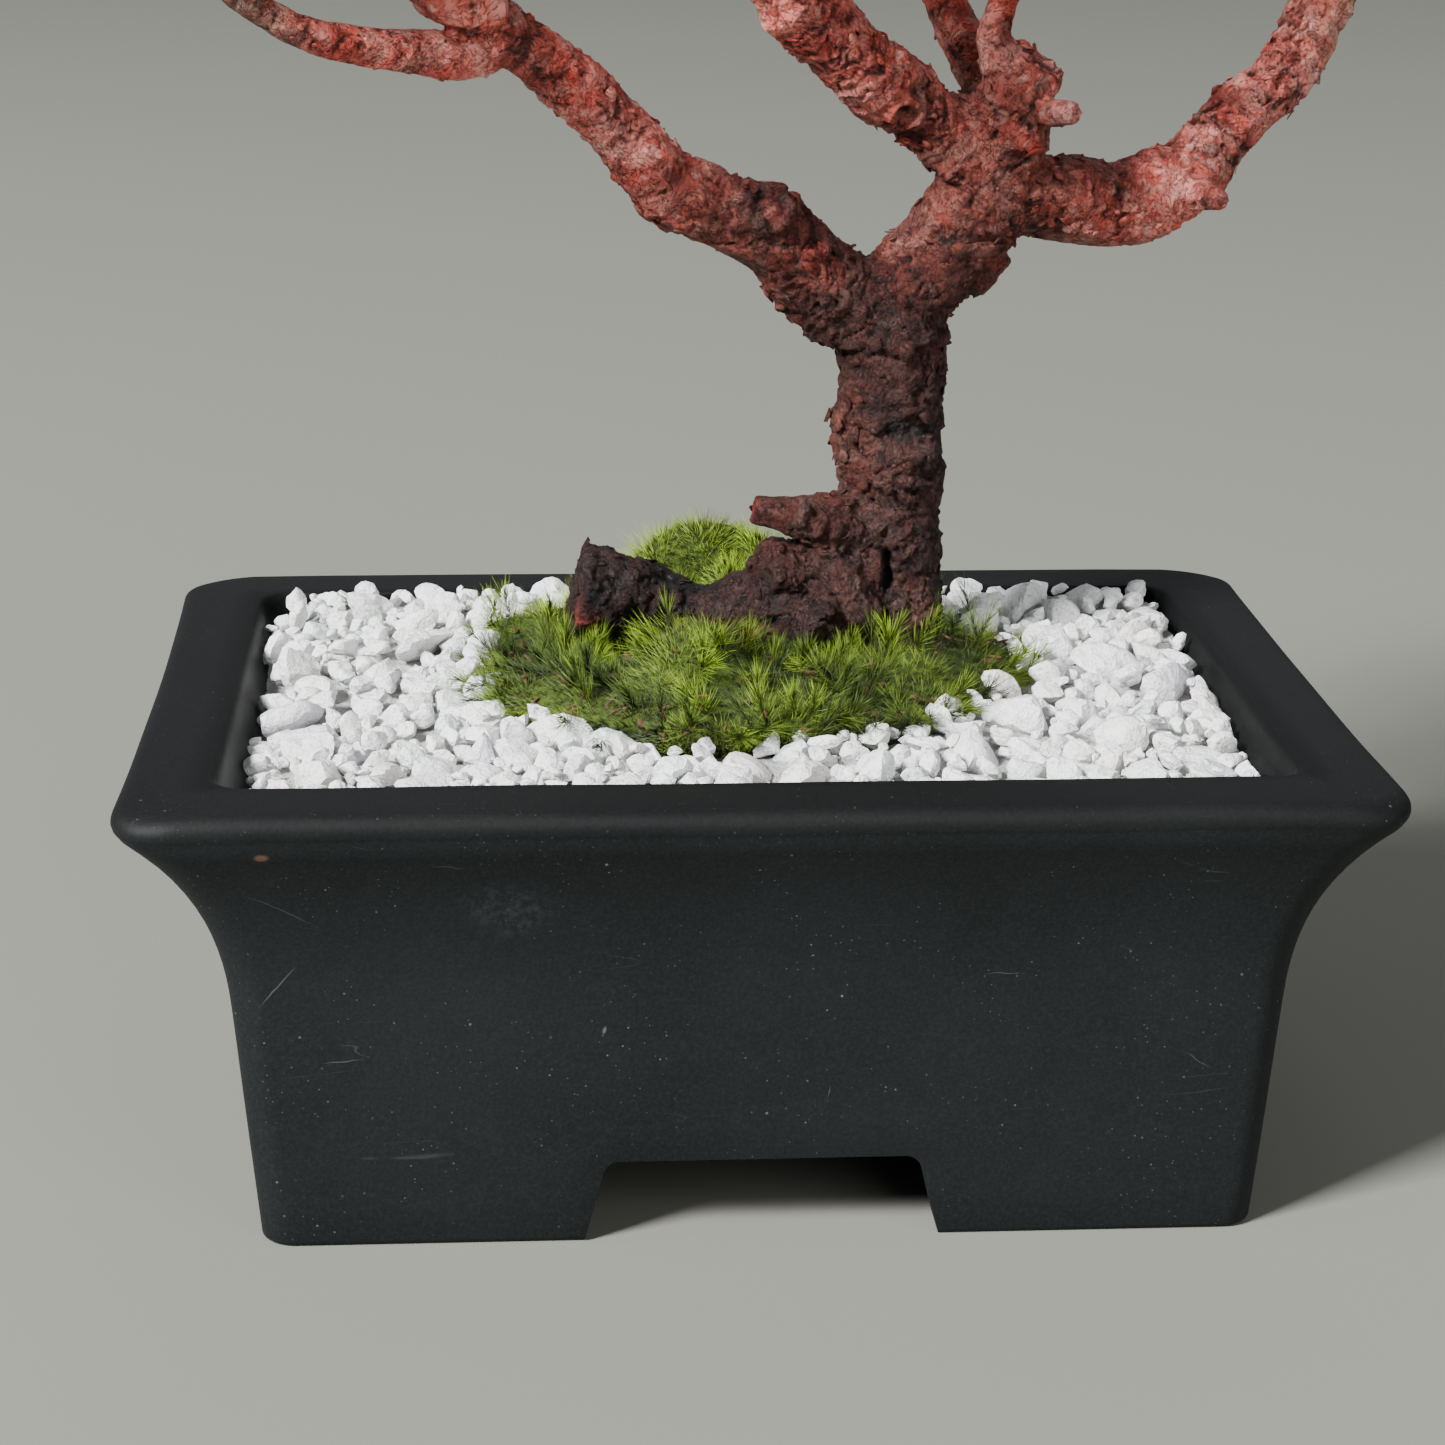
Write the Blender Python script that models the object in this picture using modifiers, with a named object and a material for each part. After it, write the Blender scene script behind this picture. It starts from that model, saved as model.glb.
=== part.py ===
"""Japanese black pine bonsai in a rectangular flared pot.

The origin is the centre of the pot's foot on the ground. The pot's long side runs along X,
the front looks towards -Y, and the tree rises along +Z.
"""

import math
import random

import bmesh
import bpy
import numpy as np
from mathutils import Matrix, Vector, noise

MM = 0.001
SEED = 47
GAP = 0.35 * MM

# Pot
POT_HEIGHT = 60.5 * MM
LIP_HALF_X = 80 * MM
LIP_HALF_Y = 60 * MM
FOOT_HALF_X = 64.2 * MM
FOOT_HALF_Y = 52 * MM
WALL_LEAN = 5.1 * MM
FLARE_START = 32 * MM
FLARE_POWER = 2.4
LIP_NOSE = 2.3 * MM
NOSE_START = math.radians(-50)
FOOT_CORNER = 4 * MM
LIP_CORNER = 8 * MM
FOOT_BEVEL = 0.8 * MM
OPENING_HALF_X = 67.5 * MM
OPENING_HALF_Y = 47.5 * MM
OPENING_CORNER = 4.5 * MM
CORNER_STEPS = 4
INNER_FLOOR = 18 * MM
FOOT_RING_WALL = 8 * MM
RECESS_HEIGHT = 12 * MM
CUTOUT_WIDTH = 45.8 * MM
CUTOUT_TOP_WIDTH = 40 * MM
CUTOUT_HEIGHT = 11.3 * MM
CUTOUT_CORNER = 1.6 * MM
DRAIN_HOLE_X = 30 * MM
DRAIN_HOLE_RADIUS = 5 * MM

# Height on the inner wall, and how far it has moved in from the opening along X there
INNER_WALL = (
    (60.5 * MM, -0.5 * MM),
    (60.1 * MM, 0.0 * MM),
    (59.0 * MM, 0.6 * MM),
    (52.0 * MM, 4.0 * MM),
    (44.0 * MM, 6.5 * MM),
    (30.0 * MM, 8.0 * MM),
    (18.0 * MM, 9.0 * MM),
)
INNER_TAPER_Y = 0.3

# Drain screens
SCREEN_SIDE = 18 * MM
SCREEN_THICKNESS = 0.8 * MM
SCREEN_CELLS = 7

# Soil and gravel
SOIL_TOP = 54 * MM
BED_TOP = 59.3 * MM
STONE_RADIUS = (4.2 * MM, 6.4 * MM)
STONE_LEAST = 2.8 * MM
STONE_SPACING = 0.88
STONE_FLATNESS = 0.72
STONE_POINTS = 9
STONE_TRIES = 9000
STONE_LIFT = 0.9 * MM
STONE_RISE_BACK = 1.2 * MM
STONE_RISE_RIGHT = 0.5 * MM

# Moss
MOSS_CENTRE = Vector((1, 10, 0)) * MM
MOSS_HALF_X = 37.5 * MM
MOSS_HALF_Y = 34 * MM
MOSS_RISE = 10.5 * MM
MOSS_RINGS = 6
MOSS_SECTORS = 22
SHOOT_SPACING = 5.0 * MM
SHOOT_LENGTH = (5 * MM, 7 * MM)
SHOOT_RADIUS = 3.1 * MM
SHOOT_WOOD_ROOM = 3.8
SHOOT_TRIES = 12000

# Wood: centre points in mm with the radius there
TRUNK = (
    (19, 18, 38, 5.0), (20.6, 17.5, 49, 8.0), (21.7, 17, 58, 9.8), (21.8, 17, 65, 9.1),
    (22.2, 17, 72.6, 8.1), (22.3, 17, 81.4, 7.5), (22.4, 17, 88.6, 7.9), (22, 17, 95.8, 7.6),
    (22, 17, 102.9, 7.7), (21.3, 17, 108.3, 7.5),
)
CUT_ROOT = (
    (21, 17, 62, 7.2), (12, 14, 65.5, 7.2), (4, 13, 67, 6.2), (-4, 15, 66.2, 4.6),
    (-11, 16, 67.6, 6.0), (-22, 15, 69.4, 6.9),
)
LEFT_LIMB = (
    (21.3, 17, 105, 7.0), (17.7, 17, 109.3, 7.0), (10.5, 15.5, 113.7, 6.4), (5, 13, 120.4, 6.4),
    (-2.3, 12, 123.5, 5.2), (-9.2, 11, 125.8, 5.2), (-13.3, 9.5, 130.4, 4.9),
    (-17.4, 8, 136.1, 4.6), (-22.8, 6, 141.1, 4.3), (-28.1, 4, 145.5, 4.1), (-33.3, 2, 149.5, 4.2),
    (-39.7, 0, 154.1, 4.2), (-48, 2, 161, 3.7), (-57, 6, 168, 3.0), (-64, 10, 174, 2.3),
)
LOW_LEFT_LIMB = (
    (-30, 3.5, 146.3, 3.3), (-38, 1, 144.9, 3.4), (-45, -2, 146, 3.1), (-50.1, -5, 146.9, 2.9),
    (-55, -8, 148.1, 2.6), (-58.7, -10, 149.5, 2.4), (-62, -12, 151.7, 2.1),
    (-64.8, -14, 153.9, 2.0), (-71, -18, 160, 2.0), (-77, -22, 167, 1.9),
)
RIGHT_TRUNK = (
    (21.3, 17, 104, 6.8), (23.3, 17, 111.4, 7.0), (29.4, 16.5, 117, 6.9), (34, 16, 123.3, 7.2),
    (35.9, 16, 129.5, 7.2),
)
LEADER = (
    (37, 16, 129, 6.0), (27.9, 14, 134.5, 5.5), (22.1, 12, 138.8, 5.7), (16.2, 9, 143.1, 5.4),
    (11.1, 6, 147.7, 5.2), (6.8, 3, 152.1, 5.4), (3, 2, 160, 4.8), (4, 4, 172, 4.3),
    (8, 6, 184, 3.7), (11, 7, 196, 3.1), (9, 5, 208, 2.5), (6, 3, 216, 2.0),
)
BACK_LIMB = (
    (36, 17, 130, 4.2), (37.3, 22, 135.7, 3.8), (33.7, 28, 142.6, 3.5), (30.6, 33, 149.8, 3.2),
    (29.5, 35, 159, 2.8), (27, 34, 169, 2.2),
)
FRONT_KNOB = (
    (36.3, 15.5, 128, 5.6), (37.6, 14, 133.9, 6.1), (38.2, 12, 138.8, 5.6), (41, 10, 144, 3.9),
)
FRONT_LIMB = (
    (38.3, 12, 138.5, 3.6), (35.6, 12, 143.5, 3.3), (34.4, 12, 146.9, 2.6), (35.9, 13, 151.4, 2.1),
    (39, 5, 160, 2.0), (43, -5, 170, 1.9),
)
RIGHT_LIMB = (
    (35, 16.3, 126, 6.0), (41.1, 17, 124.6, 5.9), (46.9, 18, 124, 6.2), (52.9, 20, 123, 5.9),
    (58.7, 21, 124, 6.2), (64.7, 23, 127.2, 5.9), (68.2, 24, 131.3, 5.3), (72.7, 26, 135.3, 4.8),
    (77.3, 28, 138.5, 4.7), (81, 30, 143.2, 4.7), (84.5, 33, 149.9, 5.0), (86, 34, 158, 4.0),
    (86, 31, 167, 3.1), (85, 26, 175, 2.3),
)
RIGHT_FORK = ((86, 33.5, 155, 3.2), (82, 26, 165, 2.9), (76, 18, 176, 2.5), (70, 12, 187, 2.0))
LEFT_FORK = ((-41, 0.5, 155, 3.1), (-46, -6, 167, 2.8), (-46, -12, 180, 2.4), (-43, -16, 191, 2.0))
LEADER_LEFT = ((5, 4.5, 174, 2.9), (-6, 13, 181, 2.5), (-15, 21, 187, 2.1), (-20, 25, 193, 1.9))
LEADER_RIGHT = ((10, 6.7, 187, 2.6), (20, -3, 193, 2.2), (28, -14, 201, 1.9))
LEADER_BACK = ((7.6, 5.8, 182, 2.6), (14, 15, 189, 2.3), (19, 24, 198, 1.9))
LEADER_FRONT = ((3, 2, 160, 2.9), (-7, -12, 168, 2.4), (-14, -27, 176, 2.0))

# Knots, burrs and the stubs of cut branches on the wood
STUBS = (
    ((17, 14.5, 78, 6.0), (12.3, 12, 79.2, 4.7), (8.5, 11.4, 80.4, 3.1), (2.3, 11.2, 81.6, 2.2)),
    ((22, 12.2, 89.3, 3.6), (28.5, 10.3, 89.7, 2.7)),
    ((13, 13, 66, 6.8), (9, 9, 68.8, 5.6)),
    ((13, 15, 70, 6.4), (4, 11.5, 72.4, 5.0)),
    ((18, 13, 66, 7.5), (15, 12.2, 71.5, 6.0), (13, 12.3, 76, 4.3)),
    ((31, 16.5, 117, 5.2), (36.4, 15.5, 113.2, 3.3)),
    ((4, 11, 122, 4.0), (4.1, 7.2, 124.6, 3.2)),
    ((38, 13, 136, 3.0), (44.8, 4, 137.3, 1.5)),
    ((38, 12, 133.5, 2.4), (39.6, 6.5, 132.6, 1.7)),
    ((62, 20, 125, 3.2), (67.6, 13, 124.2, 1.4)),
    ((33, 15, 128, 4.0), (28.5, 10.5, 129.5, 2.2)),
)
BARK_SCALE = 7 * MM
BARK_RELIEF = 0.07
ROUTE_STEP = 7.0
LIMB_CLEARANCE_TOP = 90

# Pads of needles: hub on the wood, number of shoots, turn of the first one in degrees
PADS = (
    ((-77, -22, 167), 4, 190),
    ((-64, 10, 174), 4, 150),
    ((-43, -16, 191), 3, 240),
    ((6, 3, 216), 5, 20),
    ((-20, 25, 193), 4, 110),
    ((28, -14, 201), 4, 300),
    ((27, 34, 169), 4, 75),
    ((43, -5, 170), 3, 290),
    ((85, 26, 175), 4, 20),
    ((70, 12, 187), 3, 285),
    ((19, 24, 198), 3, 40),
    ((-14, -27, 176), 4, 250),
)
APEX_HUB = (6, 3, 216)
TWIG_LENGTH = (9 * MM, 14 * MM)
TWIG_RADIUS = (1.9 * MM, 1.3 * MM)
TWIG_RISE = (18, 50)
TWIG_ROOM = 1.5 * MM
HUB_SPREAD = 0.6
TWIG_TRIES = 60

# Sprays
SHOOT_CORE_LENGTH = 10 * MM
SHOOT_CORE_RADIUS = (1.3 * MM, 0.5 * MM)
SPRAY_NEEDLES = 9
NEEDLE_LENGTH = (22 * MM, 27 * MM)
NEEDLE_LEAST = 15 * MM
NEEDLE_RADIUS = 0.6 * MM
NEEDLE_SPREAD = (72, 24)
NEEDLE_TRIES = 60
NEEDLE_GAP = 0.4 * MM
GOLDEN_ANGLE = 137.508
CROWN_HALF_X = 117.5 * MM
CROWN_HALF_Y = 66 * MM
CROWN_FLOOR = 160 * MM

MATERIALS = {
    "pot": ((0.022, 0.024, 0.026), 0.62),
    "screen": ((0.02, 0.05, 0.03), 0.5),
    "soil": ((0.10, 0.065, 0.04), 0.95),
    "gravel": ((0.78, 0.78, 0.75), 0.8),
    "moss": ((0.20, 0.27, 0.03), 0.9),
    "bark": ((0.19, 0.085, 0.06), 0.88),
    "needles": ((0.035, 0.13, 0.03), 0.5),
}


def remove_everything():
    """Empties the scene and its collections."""
    for thing in list(bpy.data.objects):
        bpy.data.objects.remove(thing, do_unlink=True)
    for group in list(bpy.data.collections):
        bpy.data.collections.remove(group)


def make_collection(name):
    """Adds a collection to the scene."""
    group = bpy.data.collections.new(name)
    bpy.context.scene.collection.children.link(group)
    return group


def make_material(name, colour, roughness):
    """Makes a Principled BSDF material."""
    material = bpy.data.materials.new(name)
    material.use_nodes = True
    shader = material.node_tree.nodes["Principled BSDF"]
    shader.inputs["Base Color"].default_value = (*colour, 1)
    shader.inputs["Roughness"].default_value = roughness
    shader.inputs["Metallic"].default_value = 0
    return material


def object_from_bmesh(name, bm, group):
    """Turns a bmesh into an object of a collection."""
    bmesh.ops.recalc_face_normals(bm, faces=bm.faces)
    mesh = bpy.data.meshes.new(name)
    bm.to_mesh(mesh)
    bm.free()
    made = bpy.data.objects.new(name, mesh)
    group.objects.link(made)
    return made


def loft(name, rings, group):
    """Skins rings of equally many points and closes both ends."""
    bm = bmesh.new()
    loops = [[bm.verts.new(point) for point in ring] for ring in rings]
    for lower, upper in zip(loops, loops[1:]):
        for i in range(len(lower)):
            j = (i + 1) % len(lower)
            bm.faces.new((lower[i], lower[j], upper[j], upper[i]))
    bm.faces.new(list(reversed(loops[0])))
    bm.faces.new(loops[-1])
    return object_from_bmesh(name, bm, group)


def rounded_rectangle(half_x, half_y, corner, z):
    """Points of a rounded rectangle at height z, anticlockwise from above."""
    points = []
    for sign_x, sign_y, start in ((1, 1, 0), (-1, 1, 90), (-1, -1, 180), (1, -1, 270)):
        for i in range(CORNER_STEPS + 1):
            angle = math.radians(start + 90 * i / CORNER_STEPS)
            x = sign_x * (half_x - corner) + corner * math.cos(angle)
            y = sign_y * (half_y - corner) + corner * math.sin(angle)
            points.append(Vector((x, y, z)))
    return points


def outer_section(height):
    """Half-sizes and corner radius of the pot's outside at a height below the nose."""
    nose_back = LIP_NOSE * (1 - math.cos(NOSE_START))
    flare_end = POT_HEIGHT - LIP_NOSE + LIP_NOSE * math.sin(NOSE_START)
    reach = LIP_HALF_X - nose_back - FOOT_HALF_X - WALL_LEAN
    run = max(0.0, height - FLARE_START) / (flare_end - FLARE_START)
    out = WALL_LEAN * height / flare_end + reach * run ** FLARE_POWER
    share = out / (LIP_HALF_X - FOOT_HALF_X)
    half_y = FOOT_HALF_Y + share * (LIP_HALF_Y - FOOT_HALF_Y)
    corner = FOOT_CORNER + share * (LIP_CORNER - FOOT_CORNER)
    return FOOT_HALF_X + out, half_y, corner


def cavity_section(height, inset):
    """Half-sizes and corner radius of the pot's inside, drawn in by an inset."""
    heights = [level for level, moved in reversed(INNER_WALL)]
    moves = [moved for level, moved in reversed(INNER_WALL)]
    moved = float(np.interp(height, heights, moves))
    half_x = OPENING_HALF_X - moved - inset
    half_y = OPENING_HALF_Y - moved * INNER_TAPER_Y - inset
    return half_x, half_y, OPENING_CORNER - inset


def add_cutter(body, cutter, solver="EXACT"):
    """Keeps a cutter as a guide and subtracts it from the body."""
    cutter.hide_render = True
    cutter.display_type = "WIRE"
    cut = body.modifiers.new("cut_" + cutter.name, "BOOLEAN")
    cut.operation = "DIFFERENCE"
    cut.solver = solver
    cut.object = cutter


def make_pot(group, cutters):
    """The pot: outside, lip and inside in one skin, then its underside and its holes."""
    flare_end = POT_HEIGHT - LIP_NOSE + LIP_NOSE * math.sin(NOSE_START)
    levels = [FOOT_BEVEL, 16 * MM, FLARE_START]
    levels += [FLARE_START + (flare_end - FLARE_START) * i / 6 for i in range(1, 7)]
    foot_x, foot_y, foot_corner = outer_section(0)
    rings = [rounded_rectangle(foot_x - FOOT_BEVEL, foot_y - FOOT_BEVEL, foot_corner, 0)]
    rings += [rounded_rectangle(*outer_section(level), level) for level in levels]
    for i in range(1, 5):
        angle = NOSE_START + (math.pi / 2 - NOSE_START) * i / 4
        back = LIP_NOSE * (1 - math.cos(angle))
        level = POT_HEIGHT - LIP_NOSE + LIP_NOSE * math.sin(angle)
        rings.append(rounded_rectangle(LIP_HALF_X - back, LIP_HALF_Y - back, LIP_CORNER, level))
    for level, moved in INNER_WALL:
        rings.append(rounded_rectangle(*cavity_section(level, 0), level))
    pot = loft("pot", rings, group)

    recess_x = FOOT_HALF_X - FOOT_RING_WALL
    recess_y = FOOT_HALF_Y - FOOT_RING_WALL
    recess_rings = [
        rounded_rectangle(recess_x, recess_y, FOOT_CORNER, -2 * MM),
        rounded_rectangle(recess_x, recess_y, FOOT_CORNER, RECESS_HEIGHT),
    ]
    add_cutter(pot, loft("recess_cutter", recess_rings, cutters))

    slope = (CUTOUT_WIDTH - CUTOUT_TOP_WIDTH) / 2 / CUTOUT_HEIGHT
    low = -2 * MM
    bm = bmesh.new()
    bmesh.ops.create_cube(bm, size=2)
    for vert in bm.verts:
        height = CUTOUT_HEIGHT if vert.co.z > 0 else low
        half = CUTOUT_WIDTH / 2 - slope * height
        vert.co = Vector((vert.co.x * half, vert.co.y * LIP_HALF_Y, height))
    corners = [e for e in bm.edges if min(v.co.z for v in e.verts) > 0 and
               abs(e.verts[0].co.y - e.verts[1].co.y) > MM]
    bmesh.ops.bevel(bm, geom=corners, offset=CUTOUT_CORNER, segments=3, profile=0.5,
                    affect="EDGES")
    add_cutter(pot, object_from_bmesh("cutout_cutter", bm, cutters))

    for side, sign in (("left", -1), ("right", 1)):
        bm = bmesh.new()
        bmesh.ops.create_cone(bm, cap_ends=True, segments=20, radius1=DRAIN_HOLE_RADIUS,
                              radius2=DRAIN_HOLE_RADIUS, depth=14 * MM)
        hole = object_from_bmesh("drain_cutter_" + side, bm, cutters)
        hole.location = (sign * DRAIN_HOLE_X, 0, (RECESS_HEIGHT + INNER_FLOOR) / 2)
        add_cutter(pot, hole)
    return pot


def make_screens(group):
    """Two mesh squares that lie over the drain holes."""
    screens = []
    for side, sign in (("left", -1), ("right", 1)):
        bm = bmesh.new()
        bmesh.ops.create_grid(bm, x_segments=SCREEN_CELLS, y_segments=SCREEN_CELLS,
                              size=SCREEN_SIDE / 2)
        cell = SCREEN_SIDE / SCREEN_CELLS
        half_cells = SCREEN_CELLS // 2
        holes = []
        for face in bm.faces:
            middle = face.calc_center_median()
            column = round(middle.x / cell)
            row = round(middle.y / cell)
            if (column + half_cells) % 2 == 1 and (row + half_cells) % 2 == 1:
                holes.append(face)
        bmesh.ops.delete(bm, geom=holes, context="FACES")
        screen = object_from_bmesh("drain_screen_" + side, bm, group)
        screen.location = (sign * DRAIN_HOLE_X, 0, INNER_FLOOR + GAP)
        wall = screen.modifiers.new("thickness", "SOLIDIFY")
        wall.thickness = SCREEN_THICKNESS
        wall.offset = 1
        screens.append(screen)
    return screens


def applied(body):
    """Applies every modifier of an object."""
    depsgraph = bpy.context.evaluated_depsgraph_get()
    mesh = bpy.data.meshes.new_from_object(body.evaluated_get(depsgraph))
    body.modifiers.clear()
    body.data = mesh
    return body


def fused(name, body, pieces, group):
    """One solid of a body and the repeats in a collection, which is then emptied."""
    join = body.modifiers.new("join", "BOOLEAN")
    join.operation = "UNION"
    join.solver = "MANIFOLD"
    join.operand_type = "COLLECTION"
    join.collection = pieces
    applied(body)
    for piece in list(pieces.objects):
        bpy.data.objects.remove(piece, do_unlink=True)
    body.name = name
    body.data.name = name
    keep_largest(body)
    return body


def keep_largest(body):
    """Drops the loose scraps that a cut or a union leaves beside the largest shell."""
    bm = bmesh.new()
    bm.from_mesh(body.data)
    unseen = set(bm.faces)
    shells = []
    while unseen:
        shell = [unseen.pop()]
        for face in shell:
            for edge in face.edges:
                if len(edge.link_faces) != 2:
                    continue
                for other in edge.link_faces:
                    if other in unseen:
                        unseen.discard(other)
                        shell.append(other)
        shells.append(shell)
    shells.sort(key=len, reverse=True)
    scraps = [face for shell in shells[1:] for face in shell]
    bmesh.ops.delete(bm, geom=scraps, context="FACES")
    bm.to_mesh(body.data)
    bm.free()


def route(points, step):
    """Points at a spacing on a smooth curve through (x, y, z, radius) points."""
    knots = np.array(points, dtype=float)
    padded = np.vstack([2 * knots[0] - knots[1], knots, 2 * knots[-1] - knots[-2]])
    line = []
    for i in range(len(knots) - 1):
        a, b, c, d = padded[i:i + 4]
        count = max(1, round(np.linalg.norm((c - b)[:3]) / step))
        for k in range(count):
            t = k / count
            line.append(0.5 * (2 * b + (c - a) * t + (2 * a - 5 * b + 4 * c - d) * t * t
                               + (3 * b - a - 3 * c + d) * t ** 3))
    line.append(knots[-1])
    return np.array(line)


def tube(name, points, resolution, group, grow=0.0, relief=BARK_RELIEF):
    """A tube with filled ends through (x, y, z, radius) points in mm, with bark relief."""
    curve = bpy.data.curves.new(name, "CURVE")
    curve.dimensions = "3D"
    curve.bevel_depth = MM
    curve.bevel_resolution = resolution
    curve.use_fill_caps = True
    spline = curve.splines.new("POLY")
    spline.points.add(len(points) - 1)
    for knot, (x, y, z, radius) in zip(spline.points, points):
        knot.co = (x * MM, y * MM, z * MM, 1)
        knot.radius = radius + grow
    made = bpy.data.objects.new(name, curve)
    group.objects.link(made)
    bpy.context.view_layer.update()
    depsgraph = bpy.context.evaluated_depsgraph_get()
    mesh = bpy.data.meshes.new_from_object(made.evaluated_get(depsgraph))
    solid = bpy.data.objects.new(name, mesh)
    solid.matrix_world = made.matrix_world
    group.objects.link(solid)
    bpy.data.objects.remove(made, do_unlink=True)
    bm = bmesh.new()
    bm.from_mesh(mesh)
    bmesh.ops.remove_doubles(bm, verts=bm.verts, dist=0.001 * MM)
    bmesh.ops.recalc_face_normals(bm, faces=bm.faces)
    bm.normal_update()
    centres = np.array([point[:3] for point in points]) * MM
    radii = [point[3] * MM for point in points]
    for vert in bm.verts:
        nearest = int(np.argmin(np.linalg.norm(centres - np.array(vert.co), axis=1)))
        lump = noise.noise(vert.co / BARK_SCALE) + 0.6 * noise.noise(vert.co / BARK_SCALE * 2.3)
        outward = vert.co - Vector(centres[nearest])
        outward.normalize()
        vert.co += outward * lump * relief * radii[nearest]
    bm.to_mesh(mesh)
    bm.free()
    return solid


def limbs():
    """Every limb with its tube resolution."""
    return (
        ("trunk", TRUNK, 4), ("cut_root", CUT_ROOT, 3), ("left_limb", LEFT_LIMB, 2),
        ("low_left_limb", LOW_LEFT_LIMB, 1), ("right_trunk", RIGHT_TRUNK, 3),
        ("leader", LEADER, 2), ("back_limb", BACK_LIMB, 1), ("front_knob", FRONT_KNOB, 2),
        ("front_limb", FRONT_LIMB, 1), ("right_limb", RIGHT_LIMB, 2), ("right_fork", RIGHT_FORK, 1),
        ("left_fork", LEFT_FORK, 1), ("leader_left", LEADER_LEFT, 1),
        ("leader_right", LEADER_RIGHT, 1), ("leader_back", LEADER_BACK, 1),
        ("leader_front", LEADER_FRONT, 1),
    )


def segment_gaps(start, end, starts, ends):
    """Least distances from one segment to each of many."""
    u = end - start
    v = ends - starts
    w = start - starts
    a = float(u @ u)
    b = v @ u
    c = np.einsum("ij,ij->i", v, v)
    d = w @ u
    e = np.einsum("ij,ij->i", v, w)
    spread = np.maximum(a * c - b * b, 1e-18)
    s = np.clip((b * e - c * d) / spread, 0, 1)
    t = np.clip((b * s + e) / np.maximum(c, 1e-18), 0, 1)
    s = np.clip((b * t - d) / a, 0, 1)
    between = w + s[:, None] * u - t[:, None] * v
    return np.linalg.norm(between, axis=1)


class Thicket:
    """Round sticks already placed, each with the spray that it belongs to."""

    def __init__(self):
        self.starts = []
        self.ends = []
        self.radii = []
        self.owners = []

    def add(self, start, end, radius, owner):
        """Adds a stick."""
        self.starts.append(tuple(start))
        self.ends.append(tuple(end))
        self.radii.append(radius)
        self.owners.append(owner)

    def room(self, start, end, radius, owner):
        """Free space between a stick and every stick of another owner."""
        gaps = segment_gaps(np.array(start), np.array(end), np.array(self.starts),
                            np.array(self.ends))
        free = gaps - np.array(self.radii) - radius
        return float(np.min(np.where(np.array(self.owners) == owner, 1.0, free)))


def wood_thicket():
    """The limbs and stubs as sticks."""
    thicket = Thicket()
    for name, points, resolution in limbs():
        line = route(points, ROUTE_STEP)
        for a, b in zip(line, line[1:]):
            radius = max(a[3], b[3]) * MM * (1 + BARK_RELIEF * 1.6)
            thicket.add(a[:3] * MM, b[:3] * MM, radius, -1)
    for points in STUBS:
        for a, b in zip(points, points[1:]):
            thicket.add(np.array(a[:3]) * MM, np.array(b[:3]) * MM, a[3] * MM * 1.1, -1)
    return thicket


def plan_twigs(thicket, dice):
    """The bare twigs, each with a root on a hub, a tip and a direction, in metres."""
    twigs = []
    for hub, count, first in PADS:
        for k in range(count):
            root = Vector([axis + dice.uniform(-HUB_SPREAD, HUB_SPREAD) for axis in hub]) * MM
            upright = hub == APEX_HUB and k == count - 1
            for attempt in range(TWIG_TRIES):
                loose = 10 + 30 * attempt / TWIG_TRIES
                turn = math.radians(first + 360 * k / count + dice.uniform(-loose, loose))
                rise = math.radians(TWIG_RISE[k % 2] + dice.uniform(-7, 7))
                if upright:
                    rise = math.radians(dice.uniform(78, 88))
                length = dice.uniform(*TWIG_LENGTH)
                way = Vector((math.cos(turn) * math.cos(rise), math.sin(turn) * math.cos(rise),
                              math.sin(rise)))
                tip = root + way * length
                core_end = tip + way * SHOOT_CORE_LENGTH
                if thicket.room(tip, core_end, SHOOT_CORE_RADIUS[0], None) > TWIG_ROOM:
                    break
            number = len(twigs)
            thicket.add(root, tip - way * 2 * MM, TWIG_RADIUS[0], -1)
            thicket.add(tip + way * 2 * MM, core_end, SHOOT_CORE_RADIUS[0], number)
            twigs.append((root, tip, way))
    return twigs


def make_tree(group, pieces, twigs):
    """Roots, trunk, limbs, stubs and twigs as one solid."""
    body = None
    for name, points, resolution in limbs():
        solid = tube(name, route(points, ROUTE_STEP), resolution, pieces)
        if body is None:
            body = solid
    pieces.objects.unlink(body)
    group.objects.link(body)
    for i, points in enumerate(STUBS):
        tube("stub_%d" % i, route(points, 4.0), 1, pieces, relief=BARK_RELIEF / 2)
    for i, (root, tip, way) in enumerate(twigs):
        start = root - way * 1.0 * MM
        radius_root, radius_tip = TWIG_RADIUS
        ends = ((*(start / MM), radius_root / MM), (*(tip / MM), radius_tip / MM))
        tube("twig_%d" % i, ends, 0, pieces, relief=0)
    return fused("tree", body, pieces, group)


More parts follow.
